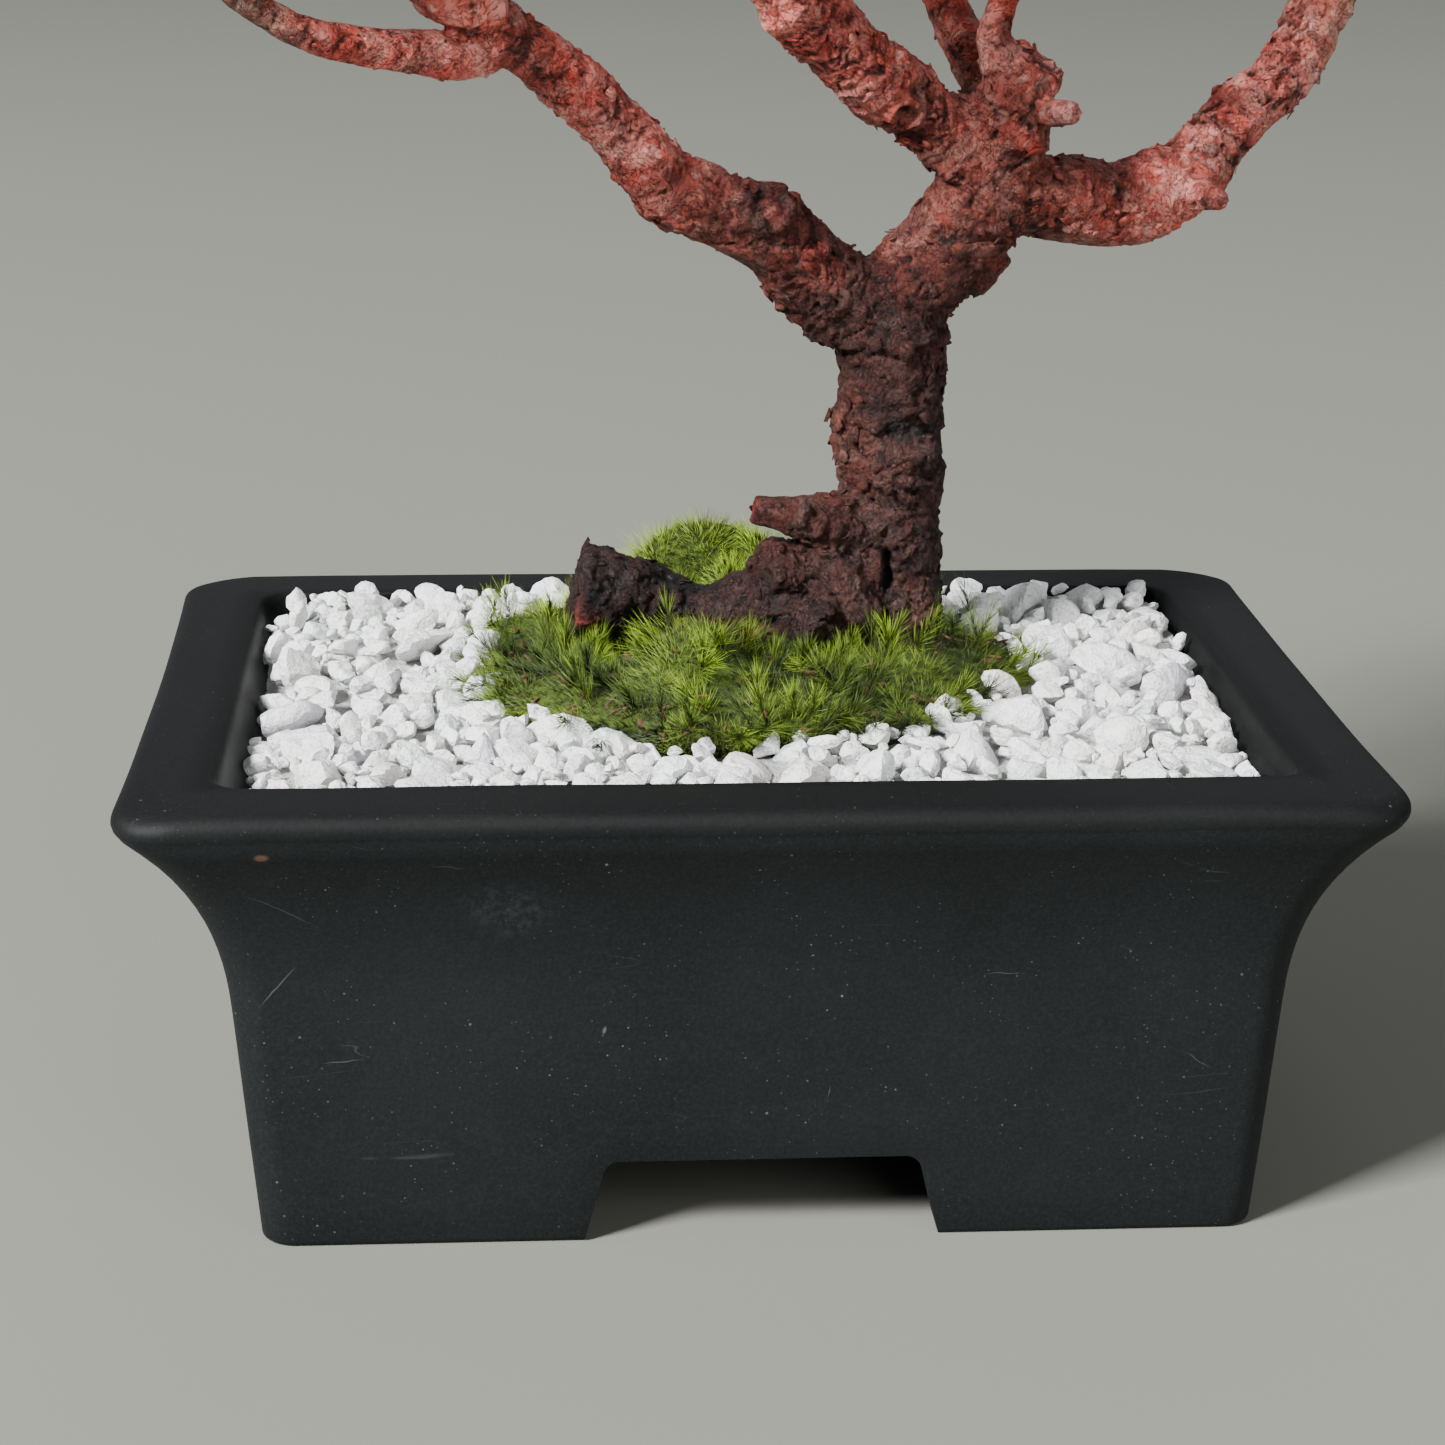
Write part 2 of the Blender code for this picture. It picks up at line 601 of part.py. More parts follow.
def make_clearance(cutters, pieces):
    """The low wood, a little larger, for the holes that it stands in."""
    low_trunk = [point for point in route(TRUNK, ROUTE_STEP) if point[2] < LIMB_CLEARANCE_TOP]
    grow = GAP / MM + 0.1
    body = tube("clearance_trunk", low_trunk, 4, cutters, grow)
    bottom = Vector((TRUNK[0][0], TRUNK[0][1], TRUNK[0][2])) * MM
    bm = bmesh.new()
    bmesh.ops.create_cone(bm, cap_ends=True, segments=12, radius1=(TRUNK[0][3] + 0.6) * MM,
                          radius2=(TRUNK[0][3] + 0.6) * MM, depth=3 * MM)
    foot = object_from_bmesh("clearance_foot", bm, pieces)
    foot.location = bottom + Vector((0, 0, 0.8 * MM))
    tube("clearance_root", route(CUT_ROOT, ROUTE_STEP), 3, pieces, grow)
    end = np.array(CUT_ROOT[-1])
    last = np.array(CUT_ROOT[-2])
    along = (end - last) / np.linalg.norm((end - last)[:3])
    past = end + along * 0.5
    past[3] = end[3]
    tube("clearance_end", (end - along, past), 3, pieces, grow + 0.35)
    for i, points in enumerate(STUBS):
        if points[0][2] < LIMB_CLEARANCE_TOP:
            tube("clearance_stub_%d" % i, route(points, 4.0), 1, pieces, grow + 0.3,
                 BARK_RELIEF / 2)
    return fused("tree_clearance", body, pieces, cutters)


def make_soil(group, cutters, clearance):
    """The fill of the pot below the gravel."""
    levels = (INNER_FLOOR + GAP, 30 * MM, 44 * MM, 52 * MM, SOIL_TOP)
    rings = [rounded_rectangle(*cavity_section(level, GAP), level) for level in levels]
    soil = loft("soil", rings, group)
    for side, sign in (("left", -1), ("right", 1)):
        bm = bmesh.new()
        bmesh.ops.create_cube(bm, size=1)
        half = SCREEN_SIDE / 2 + GAP
        top = INNER_FLOOR + SCREEN_THICKNESS + 2 * GAP
        low = INNER_FLOOR - MM
        for vert in bm.verts:
            height = top if vert.co.z > 0 else low
            vert.co = Vector((math.copysign(half, vert.co.x), math.copysign(half, vert.co.y),
                              height))
        pocket = object_from_bmesh("screen_pocket_" + side, bm, cutters)
        pocket.location = (sign * DRAIN_HOLE_X, 0, 0)
        add_cutter(soil, pocket)
    add_cutter(soil, clearance)
    return soil


def moss_reach(x, y):
    """Distance from the moss's centre as a share of its outline."""
    return math.hypot((x - MOSS_CENTRE.x) / MOSS_HALF_X, (y - MOSS_CENTRE.y) / MOSS_HALF_Y)


def moss_height(x, y):
    """Top of the moss's body, highest behind its middle."""
    reach = min(1.0, moss_reach(x, y))
    swell = 1 + 0.25 * noise.noise(Vector((x, y, 0)) / (13 * MM))
    back = 1 + 0.2 * (y - MOSS_CENTRE.y) / MOSS_HALF_Y
    return BED_TOP + GAP + 1.5 * MM + MOSS_RISE * swell * back * (1 - reach * reach) ** 0.7


def stone_places(dice, edge_x, edge_y):
    """Places and sizes of the chips, packed between the pot's wall and the moss."""
    places = []
    for _ in range(STONE_TRIES):
        x = dice.uniform(-edge_x, edge_x)
        y = dice.uniform(-edge_y, edge_y)
        to_moss = (moss_reach(x, y) - 1) * min(MOSS_HALF_X, MOSS_HALF_Y) - 0.6 * MM
        room = min(edge_x - abs(x), edge_y - abs(y), to_moss)
        size = min(dice.uniform(*STONE_RADIUS), room)
        if size < STONE_LEAST:
            continue
        if all(math.hypot(x - a, y - b) > (size + c) * STONE_SPACING for a, b, c in places):
            places.append((x, y, size))
    return places


def make_gravel(group, pieces, clearance, dice):
    """A bed with angular chips fused to it, all round the moss."""
    levels = (SOIL_TOP + GAP, BED_TOP)
    rings = [rounded_rectangle(*cavity_section(level, GAP), level) for level in levels]
    bed = loft("gravel", rings, group)
    edge_x, edge_y = cavity_section(BED_TOP, GAP)[:2]
    for i, (x, y, size) in enumerate(stone_places(dice, edge_x, edge_y)):
        bm = bmesh.new()
        for _ in range(STONE_POINTS):
            way = Vector((dice.gauss(0, 1), dice.gauss(0, 1), dice.gauss(0, 1))).normalized()
            way.z *= STONE_FLATNESS
            bm.verts.new(way * size * dice.uniform(0.85, 1.0))
        hull = bmesh.ops.convex_hull(bm, input=bm.verts)
        bmesh.ops.delete(bm, geom=hull["geom_interior"], context="VERTS")
        stone = object_from_bmesh("stone_%d" % i, bm, pieces)
        lift = STONE_LIFT + STONE_RISE_BACK * y / edge_y + STONE_RISE_RIGHT * x / edge_x
        stone.location = (x, y, BED_TOP + lift * size / STONE_RADIUS[1])
    bpy.context.view_layer.update()
    gravel = fused("gravel", bed, pieces, group)
    add_cutter(gravel, clearance, "MANIFOLD")
    return gravel


def clear_of_wood(x, y, reach):
    """Whether a moss shoot's foot keeps away from the trunk and the cut root."""
    for points in (TRUNK[2:5], CUT_ROOT, *STUBS[2:5]):
        for ax, ay, az, radius in route(points, 2.0):
            if math.hypot(x / MM - ax, y / MM - ay) < radius + reach:
                return False
    return True


def shoot_places(dice):
    """Feet of the moss's shoots, spread over its mound and away from the wood."""
    places = []
    for _ in range(SHOOT_TRIES):
        x = MOSS_CENTRE.x + dice.uniform(-1, 1) * MOSS_HALF_X
        y = MOSS_CENTRE.y + dice.uniform(-1, 1) * MOSS_HALF_Y
        if moss_reach(x, y) > 1 - 0.75 * SHOOT_RADIUS / MOSS_HALF_Y:
            continue
        if not all(math.hypot(x - a, y - b) > SHOOT_SPACING for a, b in places):
            continue
        if clear_of_wood(x, y, SHOOT_WOOD_ROOM):
            places.append((x, y))
    return places


def make_moss(group, pieces, clearance, dice):
    """A low mound with shoots fused to it."""
    bm = bmesh.new()
    low = BED_TOP + GAP
    rings = []
    for ring in range(1, MOSS_RINGS + 1):
        share = math.sin(math.pi / 2 * ring / MOSS_RINGS)
        loop = []
        for sector in range(MOSS_SECTORS):
            turn = 2 * math.pi * (sector + 0.5 * (ring % 2)) / MOSS_SECTORS
            x = MOSS_CENTRE.x + MOSS_HALF_X * share * math.cos(turn)
            y = MOSS_CENTRE.y + MOSS_HALF_Y * share * math.sin(turn)
            loop.append(bm.verts.new((x, y, moss_height(x, y))))
        rings.append(loop)
    crown = bm.verts.new((MOSS_CENTRE.x, MOSS_CENTRE.y, moss_height(MOSS_CENTRE.x, MOSS_CENTRE.y)))
    foot = [bm.verts.new((vert.co.x, vert.co.y, low)) for vert in rings[-1]]
    rings.append(foot)
    for i in range(MOSS_SECTORS):
        j = (i + 1) % MOSS_SECTORS
        bm.faces.new((crown, rings[0][i], rings[0][j]))
        for inner, outer in zip(rings, rings[1:]):
            bm.faces.new((inner[i], outer[i], outer[j], inner[j]))
    bm.faces.new(list(reversed(foot)))
    mound = object_from_bmesh("moss", bm, group)

    for i, (x, y) in enumerate(shoot_places(dice)):
        length = dice.uniform(*SHOOT_LENGTH)
        sunk = 1.6 * MM
        lean = 0.28 * moss_reach(x, y)
        away = Vector((x - MOSS_CENTRE.x, y - MOSS_CENTRE.y, 0))
        away.normalize()
        way = Vector((dice.uniform(-0.16, 0.16), dice.uniform(-0.16, 0.16), 1)) + away * lean
        bm = bmesh.new()
        bmesh.ops.create_cone(bm, cap_ends=True, segments=3, radius1=SHOOT_RADIUS, radius2=0,
                              depth=length + sunk)
        bmesh.ops.translate(bm, verts=bm.verts, vec=(0, 0, (length + sunk) / 2 - sunk))
        turn = Matrix.Rotation(dice.uniform(0, math.tau), 4, "Z")
        tilt = way.to_track_quat("Z", "Y").to_matrix().to_4x4()
        bmesh.ops.transform(bm, verts=bm.verts, matrix=tilt @ turn)
        shoot = object_from_bmesh("shoot_%d" % i, bm, pieces)
        shoot.location = (x, y, moss_height(x, y))
    bpy.context.view_layer.update()
    moss = fused("moss", mound, pieces, group)
    add_cutter(moss, clearance, "MANIFOLD")
    applied(moss)
    keep_largest(moss)
    return moss


def plan_sprays(thicket, twigs, dice):
    """The needles of every spray, bent clear of the wood and of the other sprays."""
    plans = [(tip + way * GAP, way, []) for root, tip, way in twigs]
    for number, (start, way, needles) in enumerate(plans):
        side = way.orthogonal().normalized()
        first = dice.uniform(0, 360)
        for k in range(SPRAY_NEEDLES):
            share = (k + 0.5) / SPRAY_NEEDLES
            foot = start + way * SHOOT_CORE_LENGTH * (0.2 + 0.72 * share)
            spread = NEEDLE_SPREAD[0] + (NEEDLE_SPREAD[1] - NEEDLE_SPREAD[0]) * share
            for attempt in range(NEEDLE_TRIES):
                loose = min(1.0, attempt / 12)
                turn = first + GOLDEN_ANGLE * k + dice.uniform(-1, 1) * (8 + 60 * loose)
                open_angle = math.radians(spread + dice.uniform(-1, 1) * (5 + 18 * loose))
                around = Matrix.Rotation(math.radians(turn), 3, way) @ side
                heading = way * math.cos(open_angle) + around * math.sin(open_angle)
                length = dice.uniform(*NEEDLE_LENGTH)
                for axis, limit in ((0, CROWN_HALF_X), (1, CROWN_HALF_Y)):
                    room = limit - math.copysign(1, heading[axis]) * foot[axis]
                    if abs(heading[axis]) * length > room:
                        length = room / abs(heading[axis])
                needle_end = foot + heading * length
                if length < NEEDLE_LEAST or needle_end.z < CROWN_FLOOR:
                    continue
                if thicket.room(foot, needle_end, NEEDLE_RADIUS, number) < NEEDLE_GAP:
                    continue
                thicket.add(foot, needle_end, NEEDLE_RADIUS, number)
                needles.append((foot, heading, length, turn))
                break
    return plans


def make_spray(number, plan, group, pieces):
    """One shoot with its needles."""
    start, way, needles = plan
    name = "spray_%02d" % (number + 1)
    aim = way.to_track_quat("Z", "Y").to_matrix().to_4x4()
    bm = bmesh.new()
    bmesh.ops.create_cone(bm, cap_ends=True, segments=5, radius1=SHOOT_CORE_RADIUS[0],
                          radius2=SHOOT_CORE_RADIUS[1], depth=SHOOT_CORE_LENGTH)
    bmesh.ops.translate(bm, verts=bm.verts, vec=(0, 0, SHOOT_CORE_LENGTH / 2))
    bmesh.ops.transform(bm, verts=bm.verts, matrix=aim)
    bmesh.ops.translate(bm, verts=bm.verts, vec=start)
    core = object_from_bmesh(name, bm, group)
    for k, (foot, heading, length, turn) in enumerate(needles):
        bm = bmesh.new()
        bmesh.ops.create_cone(bm, cap_ends=True, segments=3, radius1=NEEDLE_RADIUS, radius2=0,
                              depth=length)
        bmesh.ops.translate(bm, verts=bm.verts, vec=(0, 0, length / 2))
        spin = Matrix.Rotation(math.radians(turn), 4, "Z")
        tilt = heading.to_track_quat("Z", "Y").to_matrix().to_4x4()
        bmesh.ops.transform(bm, verts=bm.verts, matrix=tilt @ spin)
        bmesh.ops.translate(bm, verts=bm.verts, vec=foot)
        object_from_bmesh("needle_%d" % k, bm, pieces)
    return fused(name, core, pieces, group)


def finish(parts, name, materials):
    """Gives an object its material and its shading."""
    for part in parts:
        part.data.materials.clear()
        part.data.materials.append(materials[name])
        part.data.shade_smooth()
        part.data.set_sharp_from_angle(angle=math.radians(35))


def main():
    remove_everything()
    group = make_collection("japanese_black_pine_bonsai")
    cutters = make_collection("cutters")
    pieces = make_collection("repeats")
    materials = {name: make_material(name, *look) for name, look in MATERIALS.items()}
    thicket = wood_thicket()
    twigs = plan_twigs(thicket, random.Random(SEED))
    clearance = make_clearance(cutters, pieces)
    clearance.hide_render = True
    clearance.display_type = "WIRE"
    finish([make_pot(group, cutters)], "pot", materials)
    finish(make_screens(group), "screen", materials)
    finish([make_soil(group, cutters, clearance)], "soil", materials)
    finish([make_gravel(group, pieces, clearance, random.Random(SEED + 1))], "gravel", materials)
    finish([make_moss(group, pieces, clearance, random.Random(SEED + 2))], "moss", materials)
    finish([make_tree(group, pieces, twigs)], "bark", materials)
    plans = plan_sprays(thicket, twigs, random.Random(SEED + 3))
    sprays = [make_spray(i, plan, group, pieces) for i, plan in enumerate(plans)]
    finish(sprays, "needles", materials)
    bpy.data.collections.remove(pieces)


main()
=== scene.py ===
"""Looks of the Japanese black pine bonsai: pot, white chips, moss, bark and needles.

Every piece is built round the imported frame, in its metres: the origin is the centre of the pot's
foot, X runs along the pot's long side, the front looks towards -Y, and the tree rises along +Z.
"""

import math
import random

import bmesh
import bpy
import numpy as np
from mathutils import Matrix, Vector, noise
from mathutils.bvhtree import BVHTree


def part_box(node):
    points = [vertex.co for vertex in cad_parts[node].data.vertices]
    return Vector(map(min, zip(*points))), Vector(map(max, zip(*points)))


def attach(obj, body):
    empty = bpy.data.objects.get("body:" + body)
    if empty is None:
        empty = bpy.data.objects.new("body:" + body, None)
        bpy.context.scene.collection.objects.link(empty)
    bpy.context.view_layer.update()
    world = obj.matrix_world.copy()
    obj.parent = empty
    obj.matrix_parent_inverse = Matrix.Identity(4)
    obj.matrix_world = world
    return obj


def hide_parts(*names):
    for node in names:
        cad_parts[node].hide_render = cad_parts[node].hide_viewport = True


MM = 0.001
SEED = 11

# Camera fitted to the photograph: place in mm, angles in degrees, focal length in its pixels
IMAGE_SIZE = 1445
CAMERA_PLACE = (-32.94, -445.09, 188.88)
CAMERA_YAW = -3.96
CAMERA_PITCH = 16.85
CAMERA_ROLL = 0.53
FOCAL_PIXELS = 3350.16
SENSOR_WIDTH = 36

# Lights: azimuth and elevation they come from in degrees, side in metres, power in watts
LIGHTS = {"key": (216, 36, 0.95, 640), "fill": (300, 20, 3.0, 95), "rim": (80, 50, 2.3, 22)}
LIGHT_DISTANCE = 4.0
LIGHT_AIM = (0, 0, 0.1)
SKY_COLOUR = (0.66, 0.70, 0.74)
SKY_STRENGTH = 0.31
FLOOR_SIDE = 9.0
FLOOR_COLOUR = (0.174, 0.176, 0.152)

# Pot
POT_HEIGHT = 60.5 * MM
LIP_HALF_X = 80 * MM
LIP_HALF_Y = 60 * MM
FOOT_HALF_X = 64.2 * MM
FOOT_HALF_Y = 52 * MM
WALL_LEAN = 5.1 * MM
FLARE_START = 32 * MM
FLARE_POWER = 2.4
LIP_NOSE = 2.3 * MM
NOSE_START = math.radians(-50)
FOOT_CORNER = 4 * MM
LIP_CORNER = 8 * MM
FOOT_BEVEL = 0.8 * MM
OPENING_HALF_X = 67.5 * MM
OPENING_HALF_Y = 47.5 * MM
OPENING_CORNER = 4.5 * MM
INNER_TAPER_Y = 0.3
# Levels of the inner wall and how far it stands inside the opening there, in mm
INNER_WALL = (
    (60.5, -2.2), (60.4, -1.5), (60.1, -1.0), (59.6, -0.65), (59.0, -0.4), (57.5, 0.0),
    (55.5, 1.0), (52.0, 3.4), (44.0, 6.5), (30.0, 8.0), (18.0, 9.0),
)
FOOT_RING_WALL = 8 * MM
RECESS_HEIGHT = 12 * MM
INNER_FLOOR = 18 * MM
CUTOUT_WIDTH = 45.8 * MM
CUTOUT_TOP_WIDTH = 40 * MM
CUTOUT_HEIGHT = 11.3 * MM
CUTOUT_CORNER = 1.6 * MM
DRAIN_HOLE_X = 30 * MM
DRAIN_HOLE_RADIUS = 5 * MM
POT_CORNER_STEPS = 9
POT_SIDE_STEPS = 14
POT_WAVE = 0.16 * MM
POT_EDGE = 0.55 * MM
POT_BEVEL_STEPS = 3
OUTER_LEVELS = (6, 11, 16, 21, 26.5)
LIP_STEPS = (0.25, 0.5, 0.75)
LIP_CORNER_FLARE = 1.2 * MM
LIP_CORNER_DROOP = 0.6 * MM
INNER_EDGE = 0.5 * MM
FLARE_END = POT_HEIGHT - LIP_NOSE + LIP_NOSE * math.sin(NOSE_START)
POT_WAVE_SIZE = 26 * MM
POT_EDGE_ANGLE = math.radians(48)
POT_CREASE = math.radians(40)
CUT_MARGIN = 2 * MM
DRAIN_HOLE_SIDES = 28
BEVEL_STEPS = 3
FLARE_STEPS = 12
NOSE_STEPS = 9
CUTOUT_CORNER_STEPS = 5

# Scratches on the pot's front: middle x and z in mm, angle in degrees, half-sizes in mm, strength
SCRATCHES = (
    (-60.0, 47.3, -28, 5.6, 0.09, 0.35), (-61.0, 36.5, 47, 4.1, 0.12, 0.6),
    (-53.1, 26.0, 1, 2.8, 0.08, 0.6), (-39.3, 53.3, -5, 2.4, 0.07, 0.4),
    (30.0, 36.5, -3, 3.0, 0.08, 0.4), (55.5, 24.0, -32, 2.6, 0.08, 0.4),
    (-20.4, 29.7, 60, 0.7, 0.3, 0.8), (8.0, 20.5, 75, 1.2, 0.08, 0.5),
)

# Chips
CHIP_FLOOR = 50 * MM
CHIP_WALL_LEVEL = 58 * MM
BED_WALL_LEVEL = 56 * MM
CHIP_RADIUS = (1.9 * MM, 5.4 * MM)
CHIP_FACETS = 11
CHIP_ROUNDNESS = 90
CHIP_CREASE = math.radians(30)
CHIP_CELL = 0.5 * MM
CHIP_CHOICES = 26
CHIP_LIMIT = 860
GRIT_RADIUS = (0.9 * MM, 1.9 * MM)
GRIT_COUNT = 420
BED_DEPTH = 2.6 * MM
BED_CELL = 1.0 * MM
BED_SLAB = 3 * MM
CHIP_SINK = 0.25 * MM
CHIP_TOP_FRONT = 58.2 * MM
CHIP_TOP_BACK = 61.6 * MM
CHIP_MISSES = 60
CHIP_SMALLNESS = 1.7
CHIP_LEAN = 0.5
CHIP_SPHERES = (3, 2)
CHIP_BITE_SHIFT = 9
CHIP_FACET_REACH = (0.58, 1.0)
CHIP_WIDTH = (0.62, 0.95)
CHIP_THICKNESS = (0.45, 0.78)
CHIP_WHITE = (0.85, 0.95)
CHIP_TINTS = ((0.07, (0.93, 1.0, 0.97)), (0.13, (0.96, 0.94, 1.0)), (0.2, (1.0, 0.95, 0.92)))
CHIP_SHOWN_DEPTH = 4.5 * MM
# Grey of the grit bed under the chips, darkened as painted shade in the gaps between the chips
GRIT_AND_GAP_SHADE_GREY = (0.34, 0.34, 0.33)

# Moss, with angles in degrees
MOSS_CENTRE = Vector((1, 10, 0)) * MM
MOSS_HALF_X = 37.5 * MM
MOSS_HALF_Y = 34 * MM
MOSS_FOOT = 59 * MM
MOSS_CROWN = 3.4 * MM
# Humps of the mat: centre x and y, rise and spread along x and y, in mm
MOSS_HUMPS = (
    (-6, -3, 7.2, 4.6, 4.6), (-24, -8, 2.6, 4.5, 5), (29, 0, 2.4, 6, 6), (-10, 35, 6.5, 6, 6),
    (5, 37, 15.0, 12, 6.5), (-28, 24, 3.6, 5, 7), (8, -13, 1.4, 6, 5), (-16, 13, -5.5, 12, 7),
    (9, 6, -3.4, 7, 6),
)
# Waves of the moss's outline: depth as a share, number round the moss and phase
MOSS_WAVES = ((0.05, 3, 0.8), (0.035, 7, 2))
MOSS_DULL = np.array((0.020, 0.038, 0.004))
MOSS_FRESH = np.array((0.29, 0.44, 0.015))
MOSS_ROOM = 0.35 * MM
MOSS_SLAB = 4 * MM
TUFT_SPACING = 6.5 * MM
TUFT_REACH = 0.62
TUFT_TRIES = 4000
TUFT_LEAN = 0.75
MOSS_RINGS = 34
MOSS_SECTORS = 84
HAIR_COUNT = 27000
RIM_SHARE = 0.3
SPARSE_RIM = 0.1
RIM_LIFT = 0.55
FLAT_SHARE = 0.45
HAIR_LENGTH = (2.4 * MM, 5.2 * MM)
HAIR_RADIUS = 0.072 * MM
HAIR_JITTER = 0.16
HAIR_BEND = 0.12
HAIR_VIGOUR = (0.7, 1.25)
HAIR_SINK = 0.8
SHOOT_COUNT = 190
SHOOT_BACK = 26 * MM
CREST_BACK = 22 * MM
CREST_HAIR_COUNT = 6500
SHOOT_LEAVES = 40
SHOOT_STEM = (3.0 * MM, 6.0 * MM)
SHOOT_ROOM = 1.2 * MM
SHOOT_JITTER = 0.5
SHOOT_CURL = 0.25
SHOOT_OPENING = (46, 20)
SHOOT_GLOW = 1.25
LEAF_LENGTH = (2.4 * MM, 4.4 * MM)
LEAF_RADIUS = 0.07 * MM
LITTER_COUNT = 260
LITTER_ROOM = 0.6 * MM
# Limits of the litter's length, width and thickness and of its lift, in mm
LITTER_SIZES = ((0.4, 1.5), (0.15, 0.5), (0.1, 0.3))
LITTER_LIFT = (-0.1, 2.0)
LITTER_BROWN = np.array((0.10, 0.050, 0.026))

# Wood: lowest and highest level of each section and its voxel, all in mm
WOOD_SECTIONS = (
    ("trunk", None, 119, 0.4),
    ("limbs", 117.5, 169, 0.45),
    ("crown_wood", 167.5, None, 0.62),
)
WOOD_SMOOTHING = 9
SMOOTH_SHARE = 0.5
WOOD_RADII = (0.8 * MM, 10 * MM)
HIDDEN_RADIUS = 3 * MM
SHEET_SIZE = 7.5 * MM
SHEET_ROUND = 0.66
SCRAP_SIZE = 3.1 * MM
CENTRE_SMOOTHING = 40
WARP_SIZE = 2.6 * MM
CRACK_SIZE = 6.4 * MM
WRINKLE_SIZE = 1.5 * MM
LAYER_STEPS = 2.2
SCRAP_STEPS = 2.4
FLAKES_PER_SECTION = 520
FLAKE_RIM = 7
FLAKE_THICKNESS = 0.13 * MM
# Limits of a flake's half-length and lift, in mm
FLAKE_LENGTH = (0.5, 1.5)
FLAKE_LIFT = (0.12, 0.62)

# Long cracks and creases in the bark: points in mm, half-width and depth in mm
CRACKS = (
    (((22.3, 9, 86), (21.2, 9, 79), (21.9, 9, 72), (20.6, 9, 64)), 0.5, 2.4),
    (((13, 10, 103.5), (18, 8, 104.5), (24, 8, 103.6), (30, 11, 105)), 0.7, 1.1),
    (((15, 10.5, 93), (19, 9, 91.6), (25, 9, 93.4), (29.5, 12, 92)), 0.6, 1.0),
    (((40, 24, 123), (74, 24, 131), (76, 22, 139)), 0.5, 1.0),
)

# Sleeves of bark on the trunk: level of the edge, rise and run-out, in mm
SLEEVES = ((84.5, 0.35, 4), (92.3, 0.75, 5), (104.2, 0.95, 6))

# Places where the wood is drawn in: centre, reach and depth in mm
DENTS = (((-7, 15, 73.5), 5.0, 2.8),)

# Scars of lost twigs: centre in mm, ring radius, height of the ring and of its middle in mm
SCARS = (
    ((4.3, 6.8, 124.5), 3.3, 0.9, 0.7),
    ((11, 9.5, 80.2), 2.0, 0.7, 0.5),
    ((22.5, 6.5, 136.1), 2.2, 0.8, 0.6),
    ((-18, 0.5, 139.5), 2.2, 0.6, 0.4),
    ((-45, -4.5, 146), 1.5, 0.4, 0.3),
    ((57, 14.5, 127.5), 3.0, 0.6, 0.5),
)

# Tones of the bark, linear
BLACK_BROWN = np.array((0.021, 0.0052, 0.0032))
DARK_RED = np.array((0.072, 0.0145, 0.0082))
BRICK = np.array((0.72, 0.114, 0.082))
SALMON = np.array((0.98, 0.315, 0.262))
RUSSET = np.array((0.20, 0.070, 0.050))
HEART_BROWN = np.array((0.268, 0.070, 0.048))
ASH = np.array((0.46, 0.20, 0.16))
GREY_GREEN = np.array((0.27, 0.23, 0.165))
STUB_PINK = np.array((0.62, 0.26, 0.25))
RAW_RED = np.array((0.50, 0.05, 0.04))
PALE_WOOD = np.array((0.55, 0.36, 0.22))

# Painted places on the wood: centre in mm, reach in mm, tone and strength
WOOD_MARKS = (
    ((-20, 11, 70), 9.0, BLACK_BROWN * 0.55, 0.95),
    ((-24.5, 10, 68.5), 2.2, RAW_RED * 0.7, 0.85),
    ((-21.5, 9.5, 65), 1.8, RAW_RED * 0.5, 0.8),
    ((8, 11.5, 80.5), 6.0, DARK_RED, 0.75),
    ((1.5, 11, 81.4), 2.2, RAW_RED * 0.6, 0.6),
    ((22, 7, 106), 4.5, BLACK_BROWN, 0.75),
    ((12, 7, 110), 3.5, BLACK_BROWN, 0.5),
    ((28, 9, 99), 4.0, BLACK_BROWN, 0.7),
    ((27, 9, 69), 5.0, RUSSET, 0.4),
    ((17, 9, 70), 3.0, RUSSET, 0.5),
    ((-5, 7, 124), 8.5, HEART_BROWN * 0.62, 0.8),
    ((-16, 2, 135), 6.0, SALMON * 0.85, 0.6),
    ((4, 9, 64), 2.0, RAW_RED * 0.5, 0.6),
    ((45.5, 3.2, 137.4), 3.4, STUB_PINK, 0.9),
    ((46.6, 2.2, 137.6), 1.2, RAW_RED, 0.9),
    ((40, 5.6, 132.4), 2.2, RAW_RED, 0.8),
    ((68.3, 12, 124), 2.6, STUB_PINK, 0.9),
    ((62, 15, 126), 6.0, SALMON, 0.5),
    ((4.5, 6.5, 124.6), 4.6, BLACK_BROWN * 1.6, 0.85),
    ((4.2, 6.2, 124.2), 1.5, BRICK * 0.5, 0.9),
    ((-27.3, -1.5, 139.6), 1.6, PALE_WOOD, 0.95),
    ((-25.3, -1.5, 138.4), 1.5, PALE_WOOD, 0.9),
    ((-26.2, -3.0, 139.0), 0.7, BLACK_BROWN, 0.9),
    ((29, 8, 89.7), 2.0, BLACK_BROWN, 0.8),
)

# Sprays, with angles in degrees
FOOT_REACH = 0.62 * MM
FOOT_APART = 3 * MM
SPRAY_SHOOT_LENGTH = 10 * MM
PAIRS_PER_SPRAY = 44
NEEDLE_LENGTH = (19 * MM, 25.5 * MM)
NEEDLE_LEAST = 12 * MM
NEEDLE_RADIUS = 0.43 * MM
NEEDLE_SPREAD = (80, 16)
PAIR_ANGLE = 5
NEEDLE_TURN = 10
NEEDLE_SWAY = 9
NEEDLE_BEND = 0.045
NEEDLE_RISE = 0.03
SHEATH_LENGTH = 2.4 * MM
GOLDEN_ANGLE = 137.508
CROWN_FLOOR = 160.5 * MM
SHEATH_RADIUS = 0.62 * MM
NEEDLE_GREEN = np.array((0.042, 0.098, 0.018))
SHEATH_BROWN = (0.17, 0.10, 0.06)
SHOOT_BROWN = (0.24, 0.13, 0.07)
BUD_TAN = (0.50, 0.40, 0.31)

